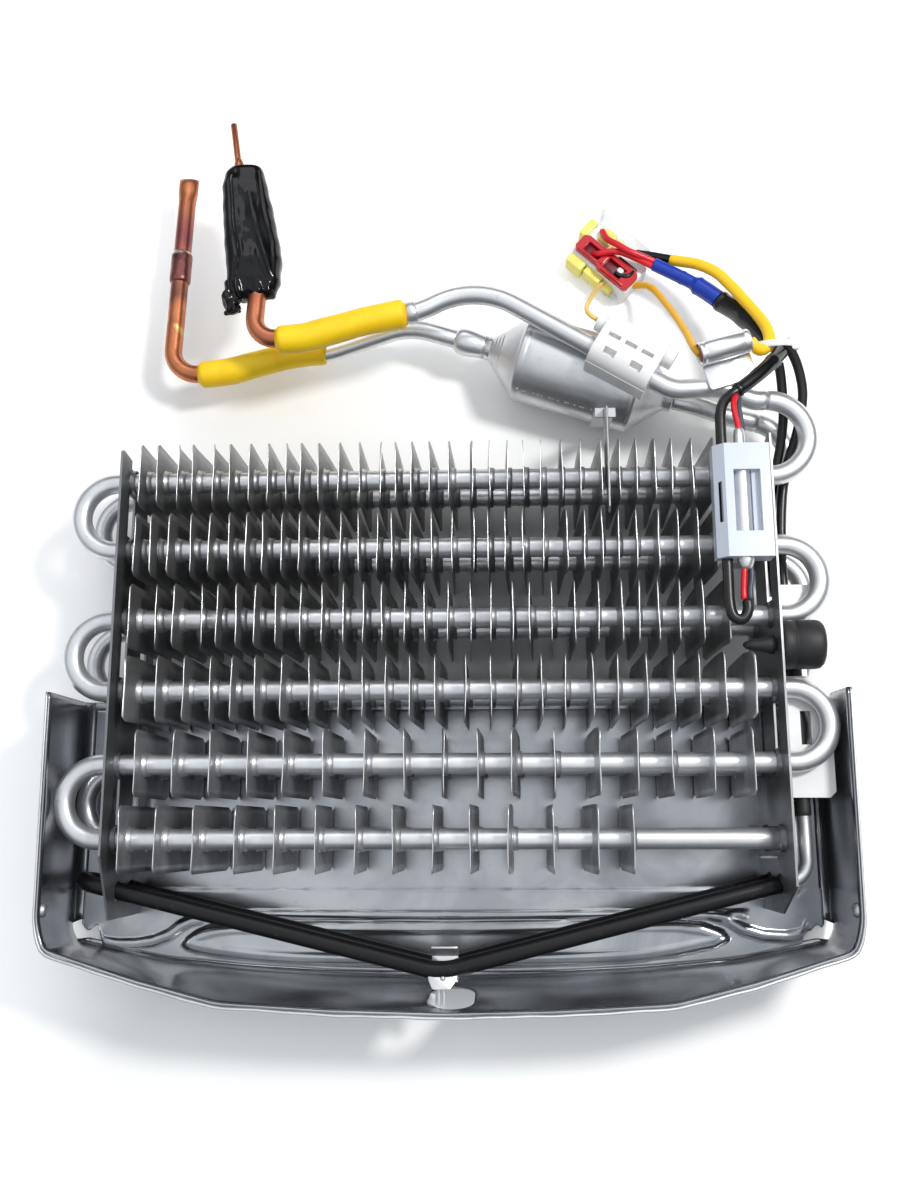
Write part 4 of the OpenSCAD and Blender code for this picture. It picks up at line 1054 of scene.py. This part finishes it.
def rivet_dome(x, y, z, way):
    """Domed rivet head with a small dimple, standing in from the wall."""
    profile = [(0, 2.2), (0.5, 2.15), (1.4, 2.3), (2.3, 1.7), (2.8, 0.7), (2.9, -0.4), (0, -0.4)]
    return turned(profile, (x, y, z), (way, 0, 0), 24)


piece("tray_rivet_heads", [rivet_dome(s * (TRAY_HX * 0.985 - 0.75), -26, 43, -s) for s in (-1, 1)],
      bright_metal, ("tray_rivets",))


# ---------------------------------------------------------------- heater

rod_black = rod_finish("rod_coat", (0.006, 0.006, 0.007), 0.26)
rod_bare = aluminium("rod_bare", (0.50, 0.51, 0.53), 0.38, stain=0.5)
rubber = plastic("rubber_skin", (0.014, 0.014, 0.015), 0.5, 0.02, 500.0, 0.3)

HEAT_RIGHT, HEAT_LOW, HEAT_LEFT = (129.2, -16.7), (-2.0, -49.4), (-135.0, -17.8)
HEAT_Z0, HEAT_Z1 = 14.0, 31.0


def heater_path():
    """Upper run from the right to the left end, half turn round, and the lower run back."""
    flat = bent([(*HEAT_RIGHT, 0), (*HEAT_LOW, 0), (*HEAT_LEFT, 0)], [0, 25, 0], 3.0)
    way = unit(flat[-1] - flat[-2])
    r = (HEAT_Z1 - HEAT_Z0) / 2
    a = np.radians(np.linspace(90, -90, 21))[1:-1, None]
    middle = flat[-1] + [0, 0, (HEAT_Z0 + HEAT_Z1) / 2]
    loop = middle + way * np.cos(a) * r + np.array([0, 0, 1.0]) * np.sin(a) * r
    return split(np.vstack([flat + [0, 0, HEAT_Z1], loop, flat[::-1] + [0, 0, HEAT_Z0]]), 6)


piece("heater_run", [tube(heater_path(), HEATER_R, 28, soft=0.35)], rod_black,
      ("heater_rod",))
ends, cuffs = [], []
for z, top in ((HEAT_Z0, 14.5), (HEAT_Z1, 66.0)):
    ends.append(tube(bent([(*HEAT_RIGHT, z), (138, -14.5, z), (138, 8.6, z)], [0, 8, 0]),
                     HEATER_END_R, 20))
    cuffs.append(tube(even(np.array([[138, 8, z], [138, top, z]], float), 2.0), CUFF_R, 20,
                      swelling(1.0, 0.97, [(0.03, 0.05, 0.06)]), soft=0.3))
    cuffs.append(turned([(0, -2.2), (3.0, -2.2), (3.75, -1.4), (3.75, 1.2), (3.2, 2.0),
                         (2.2, 2.2), (0, 2.2)], (*HEAT_RIGHT, z), (1, 0.25, 0), 24))
piece("heater_bare_ends", ends, rod_bare, ("heater_ends",))
piece("heater_cuffs", cuffs, rubber, ("heater_end_sleeves",))
clip_metal = aluminium("clip_strip", (0.74, 0.745, 0.755), 0.30, stain=0.4)


def heater_clip():
    """Strip bent round the rod: its foot, the lip that leans back above the rod, the tapered
    tongue below it with a small rivet, two stem bars and the tab beside them in the opening."""
    def lip_lean(p):
        return p + (p[..., 2:] - 27) * [0, 0.55, 0]

    def tongue_lean(p):
        return p + (-50.5 - p[..., 1:2]) * [0, 0, 0.35]

    tongue = [[-6.9, -50.0], [-6.7, -52.0], [-5.4, -54.9], [-4.8, -55.4], [1.4, -55.4],
              [2.0, -54.9], [4.1, -52.0], [4.4, -50.0]]
    outline = soft_line(tongue + tongue[:1], [4] * 8, 1)[:-1][::-1]
    return [slab(round_rect(-5.6, 4.6, -52.6, -43.4, 0.5), 26.6, 27.4, 0.2),
            slab(round_rect(-5.6, 4.6, -44.2, -43.4, 0.3), 26.8, 33.4, 0.2, lip_lean),
            slab(round_rect(-5.6, 4.6, -52.9, -52.1, 0.3), 26.8, 33.0, 0.2),
            slab(outline, 32.2, 33.0, 0.2, tongue_lean),
            slab(round_rect(-3.4, -2.1, -62.0, -54.6, 0.3), 29.6, 31.0, 0.2),
            slab(round_rect(-1.5, -0.2, -62.0, -54.6, 0.3), 29.6, 31.0, 0.2),
            slab(round_rect(-6.1, -3.7, -61.8, -57.2, 0.5), 28.6, 29.4, 0.2),
            turned([(0, 0.6), (0.6, 0.5), (1.0, 0.1), (1.0, -0.3), (0, -0.3)],
                   (-1.2, -51.6, 33.4), (0, -0.33, 1), 16)]


piece("heater_clip_strip", heater_clip(), clip_metal, ("heater_clip",))


# ---------------------------------------------------------------- lines and accumulator

IN_LINE = [[130.8, 174.5, 39.5], [126, 174.5, 39.5], [112, 179.3, 42], [92.5, 178.3, 43],
           [13.3, 226.2, 43], [-10, 215, 42], [-40, 209.4, 42]]
LOW_LINE = [[9, 211.1, 19.3], [-16, 219, 19.3], [-50, 207.5, 19.3], [-82, 202.4, 19.3]]
ACC_A = np.array([18.1, 208.2, 19.3])
ACC_WAY = np.array([math.cos(math.radians(-17.65)), math.sin(math.radians(-17.65)), 0])

piece("inlet_pipe_bent", [tube(bent(IN_LINE, [0, 12, 14, 14, 34, 38, 0], 3.0), TUBE_R, 28)],
      tube_metal, ("inlet_pipe",))
piece("outlet_pipe_bent", [tube(even(smooth([[97, 183.1, 19.2], [108, 180.0, 19.0],
                                             [120, 176.6, 16.6], [132.5, 174.05, 14.5]]), 2.0),
                                TUBE_R, 28)], tube_metal, ("outlet_pipe",))


def swelled_joint():
    """Swelled, brazed end of the suction pipe at the accumulator's mouth."""
    return turned([(0, -14.6), (4.1, -14.6), (4.7, -14.3), (5.3, -13.4), (5.75, -11.8),
                   (5.9, -9.8), (5.85, -7.8), (5.55, -5.8), (5.2, -4.0), (5.0, -2.6),
                   (5.05, -1.05), (0, -1.05)],
                  ACC_A, ACC_WAY, 36)


piece("suction_pipe_bent", [tube(bent(LOW_LINE, [0, 30, 30, 0]), TUBE_R, 28), swelled_joint()],
      tube_metal, ("suction_pipe",))
piece("inlet_collar", [turned([(0, 0), (4.4, 0), (4.7, 0.35), (4.7, 3.6), (4.4, 3.96), (0, 3.96)],
                              (-11.6, 214.7, 42), (-3.9, -0.73, 0), 32)], bright_metal,
      ("joint_collar",))


def accumulator_skin():
    """Spun shell: straight body, rounded shoulders with a rolled ridge each, cones and necks."""
    cone = [(5 + (d - 1.5) * 0.945 + 0.11 * math.sin(d * 4.4), d) for d in
            np.linspace(1.5, 7.5, 31)]
    profile = [(0, -1), (4.6, -1), (5, -0.6), (5, 1.3), *cone, (13.9, 10.6),
               (17.2, 14.0), (17.75, 14.7), (18.1, 14.9), (18.45, 15.3), (18.7, 16.0),
               (ACC_R, 17.0), (ACC_R, 17.8), (18.62, 18.1), (ACC_R, 18.5)]
    profile += [(ACC_R, d) for d in np.linspace(21, 63, 15)]
    profile += [(18.62, 64.3), (ACC_R, 64.7), (18.72, 65.8), (18.45, 66.6), (18.1, 67.0),
                (17.3, 67.6), (13.9, 71.0), (10.0, 74.8), (7.2, 77.6), (6, 78.8), (5.5, 80),
                (5.4, 82.1), (5.1, 82.5), (0, 82.5)]
    return turned(profile, ACC_A, ACC_WAY, 72)


def weld_dots():
    """Row of small spot marks low on the shell's front, one low dome to each."""
    out = []
    side = np.cross(ACC_WAY, [0, 0, 1.0])
    a = math.radians(67)
    normal = side * math.sin(a) + np.array([0, 0, 1.0]) * math.cos(a)
    for k, d in enumerate(np.arange(18, 60, 2.3)):
        place = ACC_A + ACC_WAY * (d + 0.7 * math.sin(k * 2.3)) + normal * 18.72
        out.append(turned([(0, 0.12), (0.3, 0.1), (0.5, 0.02), (0.5, -0.3), (0, -0.3)], place,
                          normal, 8))
    return out


piece("accumulator_shell", [accumulator_skin()], shell_metal,
      ("accumulator",))
piece("accumulator_weld", weld_dots(), bright_metal)

foam = foam_finish()


def foam_sleeve(name, route, radius, node, seed):
    """Foam tube with soft rounded ends and a slightly uneven, squeezed wall."""
    path = even(smooth(route), 1.5)

    def shape(s, a):
        lumps = 0.018 * np.sin(9 * s + seed) * np.cos(2 * a + seed) + 0.012 * np.sin(23 * s + a)
        ends = 1 - 0.10 * (1 - rise(s, 0.0, 0.045)) - 0.10 * rise(s, 0.955, 1.0)
        return ends + lumps
    piece(name, [tube(path, radius, 32, shape, soft=0.22)], foam, (node,))


foam_sleeve("foam_sleeve_upper", [[-15.6, 214.3, 42], [-30, 211.7, 42], [-44.2, 208.0, 42],
                                  [-57.9, 204.3, 42], [-70.2, 203.1, 42]], 5.9, "upper_sleeve",
            1.3)
foam_sleeve("foam_sleeve_lower", [[-51.7, 207.9, 19.3], [-63.9, 207.0, 19.3],
                                  [-78.3, 203.7, 19.3], [-90.8, 200.2, 19.3],
                                  [-100, 198.6, 19.3], [-108, 197.7, 19.3]], 5.7,
            "lower_sleeve", 4.1)

copper = copper_finish()
CU_ELBOW = [[-40.1, 209.38, 42], [-80, 202, 42], [-78.4, 229, 41], [-80, 244, 40]]
CU_RISER = [[-82, 202.4, 19.3], [-120.3, 196.4, 19.3], [-116.4, 287, 19.3]]
piece("copper_elbow", [tube(even(bent(CU_ELBOW, [0, 9, 14, 0]), 1.5), COPPER_R, 28)], copper,
      ("inlet_copper_elbow",))


def riser_skin():
    """Riser tube that flattens and widens into its pinched, sealed top end."""
    way = unit(np.array([-116.4 + 120.3, 287 - 196.4, 0]))
    corners = [*CU_RISER[:2], (np.array(CU_RISER[2]) + way * 4.4).tolist()]
    path = even(bent(corners, [0, 11, 0]), 1.2)
    length = np.linalg.norm(np.diff(path, axis=0), axis=1).sum()
    t, n, b = directions(path)
    s = np.linspace(0, 1, len(path))
    flat = rise(s * length, length - 12.0, length - 5.5)[:, None]
    pinch = rise(s * length, length - 2.2, length)[:, None]
    a = np.linspace(0, 2 * np.pi, 28, endpoint=False)[None, :]
    wide, thin = COPPER_R + 0.6 * flat, COPPER_R - 0.9 * flat - 0.9 * pinch
    # n lies across in the XY plane and b along Z, so the pinch is seen broad from the front
    across = np.abs(n[:, 2:3]) < 0.5
    p = np.where(across, wide, thin) * np.cos(a)
    q = np.where(across, thin, wide) * np.sin(a)
    return capped(path[:, None] + p[..., None] * n[:, None] + q[..., None] * b[:, None])


piece("copper_riser", [riser_skin()], copper, ("suction_copper_riser",))
piece("riser_coupling", [turned([(0, -0.3), (3.9, -0.3), (4.3, 0.2), (4.55, 0.9), (4.6, 2.0),
                                 (4.55, 7.0), (4.6, 12.0), (4.5, 13.2), (4.25, 13.8), (3.9, 14.3),
                                 (0, 14.3)], (-118.35, 241.5, 19.3), (0.6, 14, 0), 36)],
      coupling_finish(), ("suction_coupling",))
piece("capillary_line", [tube(bent([[-85.5, 262, 40], [-88.5, 283, 41], [-91.6, 304.5, 41]],
                                   [0, 20, 0]), CAPILLARY_R, 18),
                         turned([(0, -6), (1.6, -6), (2.3, -3.5), (2.2, -0.5), (1.8, 1.2),
                                 (1.5, 2.2), (0, 2.2)], (-88.6, 285.2, 41), (-0.143, 0.99, 0), 20)],
      copper, ("capillary_tube",))


def tape_wrap():
    """Tape folded round the joint: a flat-sided oval whose left and right edges follow the wrap,
    with long creases and folds on its front and gathers at its lower end."""
    edge_y = [222.5, 224.5, 230, 240, 252, 264, 274, 280, 282.6, 283.4]
    left = [-86.8, -90.0, -91.6, -92.6, -93.8, -94.7, -95.3, -94.2, -92.0, -90.4]
    right = [-74.0, -71.2, -69.4, -68.7, -70.8, -73.4, -75.8, -77.4, -78.6, -81.0]
    deep = [3.0, 4.8, 5.9, 6.4, 6.4, 6.2, 6.0, 5.4, 4.4, 2.6]
    y = np.r_[np.linspace(222.5, 225, 6), np.linspace(225, 281.5, 60)[1:],
              np.linspace(281.5, 283.4, 6)[1:]][:, None]
    left, right, deep = (np.interp(y, edge_y, v) for v in (left, right, deep))
    a = np.linspace(0, 2 * np.pi, 72, endpoint=False)[None, :]
    u = np.sign(np.cos(a)) * np.abs(np.cos(a)) ** 0.72
    v = np.sign(np.sin(a)) * np.abs(np.sin(a)) ** 0.72
    x = (left + right) / 2 + (right - left) / 2 * u
    front = np.clip(v, 0, 1) ** 0.5

    def crease(line, width, height):
        """Ridge beside a sharp valley along x = line(y)."""
        ys, xs = zip(*line)
        d = x - np.interp(y, ys, xs)
        ends = rise(y, ys[0] - 3, ys[0] + 1) * (1 - rise(y, ys[-1] - 1, ys[-1] + 3))
        return height * ends * (np.exp(-(((d - width * 0.7) / width) ** 2))
                                - 1.25 * np.exp(-((d / (width * 0.45)) ** 2)))

    fold = (crease([(226, -88.0), (240, -86.4), (254, -89.4), (276, -91.4)], 1.8, 1.1)
            + crease([(230, -73.6), (240, -77.0), (250, -80.4), (268, -84.8)], 2.2, 1.2)
            + crease([(224, -81.6), (236, -81.0), (250, -84.8)], 1.5, 0.9)
            + crease([(232, -71.6), (246, -72.6), (262, -76.6), (280, -79.4)], 1.1, 0.5)
            + crease([(255, -84.0), (268, -87.6), (280, -88.2)], 1.3, 0.5))
    gathers = 0.55 * np.sin(x * 1.5 + y * 0.3) * (1 - rise(y, 225, 233))
    collar = 0.5 * rise(y, 279.2, 280.4)
    z = 40.5 + deep * v * (1 + 0.04 * np.sin(y * 0.35)) + front * (fold + gathers + collar)
    z = z + (v < 0) * 0.4 * np.sin(y * 0.8 + x * 0.5)
    x = x + np.sign(u) * np.abs(u) ** 4 * 0.2 * np.sin(y * 0.55 + 1.0) * np.sin(y * 0.17)
    return capped(np.stack([x, y + 0.5 * np.sin(x * 0.9) * (1 - rise(y, 224, 230)), z], -1))


def tape_tail():
    """Loose, crumpled end of tape that hangs from the lower left of the wrap."""
    path = even(smooth([[-87.0, 230.0, 41.5], [-89.4, 225.6, 41.0], [-89.9, 221.6, 40.4],
                        [-88.4, 216.6, 39.8]], 6), 0.6)

    def crumple(s, a):
        wide = 0.75 + 0.35 * np.abs(np.cos(a)) - 0.25 * s + 0.12 * np.sin(14 * s)
        return wide * (1 + 0.14 * np.sin(3 * a + 9 * s) + 0.1 * np.sin(5 * a - 17 * s))
    return tube(path, 3.7, 26, crumple, soft=0.5)


tape = tape_finish()
piece("tape_round_joint", [tape_wrap()], tape, ("sealing_tape",))
piece("tape_loose_corner", [tape_tail()], tape)


# ---------------------------------------------------------------- strap, clip, controls

white = plastic("white_nylon", (0.80, 0.80, 0.80), 0.30, 0.004, 500.0, 0.2)
strap_strip = aluminium("strap_strip", (0.46, 0.465, 0.475), 0.26, stain=0.3)
holder_look = plastic("holder_clear", (0.56, 0.61, 0.70), 0.2, 0.003, 600.0, 0.1)
from_cad("accumulator_strap", strap_strip, 0.25)
from_cad("fuse_clip", white, 0.35)
from_cad("lead_cover", white, 0.3)
from_cad("sensor_holder", holder_look, 0.3)

capsule_look = aluminium("capsule_skin", (0.86, 0.865, 0.88), 0.25, stain=0.4, brushed=(1, 0.2, 1))
piece("capsule_drawn", [turned([(0, 0), (1.4, 0), (2.0, 0.3), (2.5, 1.2), (3.0, 2.4),
                                (3.25, 3.6), (3.25, 12), (3.25, 28), (3.25, 44.5), (3.1, 45.5),
                                (2.6, 46.4), (2.3, 47.5), (2.25, 53), (2.0, 55.2), (1.6, 56),
                                (0, 56)], (114.9, 99.6, 58.6), (0, 1, 0), 36)], capsule_look,
      ("sensor_capsule",))

T_AT, T_TURN = (112.5, 192.5, 51.5), 16.0
t_place = turned_by(T_TURN, T_AT)
t_way = turn_matrix("Z", T_TURN) @ np.array([1.0, 0, 0])
piece("thermostat_sheath_rolled",
      [turned([(3.9, -10.2), (4.6, -10.4), (4.8, -10.0), (4.75, -8.6), (4.5, -8.1), (4.8, -7.6),
               (4.8, 7.6), (4.5, 8.1), (4.75, 8.6), (4.8, 10.0), (4.6, 10.4), (3.9, 10.2),
               (3.9, -10.2)], T_AT, t_way, 40),
       slab(round_rect(-9.5, 10.5, -14.5, 0.5, 1.2), -4.8, -3.8, 0.25, t_place)],
      capsule_look, ("thermostat_sheath",))
brown = plastic("baked_brown", (0.30, 0.07, 0.04), 0.35, 0.02, 400.0, 0.5)
piece("thermostat_core", [turned([(0, -10.3), (2.6, -10.3), (3.3, -9.9), (3.9, -9.2), (3.9, 9.2),
                                  (3.3, 9.5), (0, 9.6)], T_AT, t_way, 32)], brown,
      ("thermostat_body",))

BUFFER_AT = (128.55, 72.85, 45.5)
piece("buffer_rubber",
      [turned([(0, 0), (8.6, 0), (9.3, 0.5), (9.5, 1.2), (9.5, 4.8), (9.1, 5.2), (9.1, 5.6),
               (9.5, 6.0), (9.5, 13.6), (9.2, 15.2), (8.3, 16.2), (7.2, 16.4), (0, 16.4)],
              BUFFER_AT, (1, 0, 0), 44),
       turned([(0, 0.3), (2.5, 0.3), (2.5, -1.2), (3.6, -2.0), (3.6, -3.2), (2.9, -5.4),
               (2.2, -9.8), (1.4, -12.6), (0.6, -13.5), (0, -13.5)], BUFFER_AT, (1, 0, 0), 28)],
      rubber, ("rubber_buffer",))


# ---------------------------------------------------------------- connector and tie

yellow_pale = plastic("retainer_pale", (0.86, 0.76, 0.16), 0.3, 0.004, 600.0, 0.2)
red_dark = plastic("lock_dark_red", (0.50, 0.006, 0.016), 0.2, 0.004, 600.0, 0.2)
# Darker copy of the lock red for the lock's recessed floor: painted shade
red_painted_shade = plastic("lock_red_painted_shade", (0.12, 0.003, 0.006), 0.35, 0.004, 600.0, 0.3)
guard_clear = plastic("guard_clear", (0.93, 0.95, 0.98), 0.2, 0.002, 600.0, 0.05, Alpha=0.35)
on_connector = turned_by(47, (72.3, 256, 0))


def block(x0, x1, y0, y1, low, high, r=0.8, soft=0.4):
    """Moulded block with rounded corners, in the connector's own frame."""
    return slab(round_rect(x0, x1, y0, y1, r), low, high, soft, on_connector)


def guard_wall():
    """Thin upright sheet along the connector's far edge."""
    return slab([[13, -13], [14, -13], [14.8, 2], [15.6, 16.7], [14.6, 16.7], [13.8, 2]], 1.0,
                12.6, 0.25, on_connector)


latch = even(bent([(-9.6, -8.4, 3.8), (-12.7, -8.4, 3.8), (-12.7, -14.2, 3.8),
                   (-9.6, -14.2, 3.8)], [0, 1.5, 1.5, 0]), 0.7)
piece("connector_body", [block(-10, 6, -18, 13, 1, 12, 1.2, 0.7), block(5, 8.6, -6, 12, 1, 5),
                         on_connector(tube(latch, 0.8, 12))], white,
      ("connector_housing",))
piece("connector_guard", [block(5.5, 14, -8, 14, 1, 2), block(8, 15, 15, 16.2, 1, 12.8, 0.4, 0.2),
                          guard_wall()], guard_clear, ("connector_housing",))
RETAINERS = [(-14.4, -9.8, 4.2, 12.6, 3, 11), (-13.4, -9.8, -5.6, 3.4, 3, 10),
             (-12.4, -9.6, -12.0, -6.4, 3, 8.6), (-1.5, 7.5, 12.6, 16.4, 3, 13),
             (1.6, 8.2, 1.6, 8.2, 11, 13.4), (2.4, 7.6, -4.5, 0.8, 11, 13.2)]
piece("connector_retainers", [block(*sides) for sides in RETAINERS], yellow_pale,
      ("connector_retainer",))
# The lock's floor below its ribs and windows, in the darker red of painted shade
piece("connector_lock_floor", [block(-7.6, -1.8, -12.8, 9.4, 11.6, 12.8, 0.5, 0.3),
                               block(-1.2, 1.6, -15.6, -5.0, 11.6, 13.6)], red_painted_shade)
piece("connector_lock_ribs", [block(-9.6, -8.6, -15.6, -3.0, 14.2, 15.4, 0.4, 0.3),
                              block(-8.6, -7.8, 1.0, 11.0, 14.2, 15.2, 0.3, 0.25),
                              block(-7.6, -2.4, -2.6, -0.4, 14.2, 15.2, 0.5, 0.3)],
      red_dark)
piece("connector_peg", [block(-5.0, -2.6, -11.6, -8.6, 12, 14.2, 0.9, 0.4)], white)
from_cad("connector_lock", red_dark, 0.4)
lead("connector_jumper", [[74.6, 245.4, 13.6], [77.2, 243.6, 14.6], [80.6, 243.4, 14.8],
                          [83.0, 245.8, 13.8]], 1.8, sleeve_black)


def tie_ring():
    """Strap wound to a ring: a rounded rectangle carried round a circle, with fine cross ribs."""
    a = np.linspace(0, 2 * np.pi, 97)[:-1]
    section = np.array([(-0.4, -1.1), (-0.25, -1.3), (0.3, -1.3), (0.42, -1.1), (0.42, 1.1),
                        (0.3, 1.3), (-0.25, 1.3), (-0.4, 1.1)])
    out = TIE_R + section[None, :, 0] + 0.06 * np.sin(a * 48)[:, None]
    ring = np.stack([out * np.cos(a)[:, None], out * np.sin(a)[:, None],
                     np.repeat(section[None, :, 1], len(a), 0)], -1)
    return np.concatenate([ring, ring[:1]])


def tie_head():
    """Rounded head block of the tie with its mouth ridge."""
    return [slab(round_rect(6.6, 11.8, -3.4, 2.4, 1.6), -2.7, 2.7, 0.7),
            slab(round_rect(7.8, 10.6, -2.2, 1.2, 0.7), 2.6, 3.3, 0.25)]


tie_turn = turn_matrix("Z", 4) @ turn_matrix("X", 106)
tie = [g @ tie_turn.T + np.array([133.2, 196.8, 43.0]) for g in [tie_ring(), *tie_head()]]
piece("tie_strap", tie, white, ("cable_tie",))


# ---------------------------------------------------------------- floor, light and finish

floor_look = Look("floor_pale", (0.93, 0.93, 0.925), 0.75, Emission_Strength=1.0)
floor_look.paint(floor_look.mix(floor_look.noise(6.0, 3.0), (0.95, 0.95, 0.945),
                                (0.92, 0.92, 0.915)))
rays = floor_look.add("ShaderNodeLightPath").outputs
seen = sum((Number(floor_look, rays["Is %s Ray" % kind]) for kind in ("Glossy", "Transmission")),
           Number(floor_look, rays["Is Camera Ray"])).least(1.0)
# The glow fades out beneath the coil, so the floor there is darker: a painted shadow
clear = ((floor_look.axis("X").abs() - 0.10).step(0.0, 0.10)
         .most((floor_look.axis("Y") - 0.06).abs().step(0.10, 0.22)))
floor_glow = floor_look.mix(seen * clear, (0.0, 0.0, 0.0), (0.32, 0.32, 0.32))
floor_look.tree.links.new(floor_glow, floor_look.shader.inputs["Emission Color"])
FLOOR_R, FLOOR_Z = 2500, -0.4
floor_rim = half_circle((0, 0, FLOOR_Z), FLOOR_R, 0, 360, parts=64)[:-1]
floor_mesh = bpy.data.meshes.new("floor")
floor_mesh.from_pydata((floor_rim * MM).tolist(), [], [list(range(64))])
floor_mesh.materials.append(floor_look.material)
floor = put("floor", floor_mesh)

world = bpy.data.worlds.new("room")
bpy.context.scene.world = world
world.use_nodes = True


class Room(Look):
    """The light from all round, built with the same number maths as a finish."""

    def __init__(self, tree):
        self.tree = tree


room = Room(world.node_tree)
up, across = room.axis("Z", "Generated"), room.axis("X", "Generated")
clouds = room.noise(5.0, 2.0, 0.5, by="Generated")
overhead = up.step(0.3, 1.0) * (0.30 + clouds * 1.4)
left_side = (across * -1).most(0.0) ** 2 * 0.42
background = world.node_tree.nodes["Background"]
background.inputs["Color"].default_value = (0.92, 0.96, 1.0, 1)
world.node_tree.links.new((overhead + left_side + 0.045).socket,
                          background.inputs["Strength"])

area_lamp("key", (0.42, 0.30, 0.72), (0.0, 0.09, 0.0), 0.14, 4.2, (1.0, 0.985, 0.96))
area_lamp("soft_top", (-0.1, 1.1, 1.0), (0.0, 0.1, 0.0), 0.8, 2.2)

bpy.context.scene.view_settings.view_transform = "Standard"
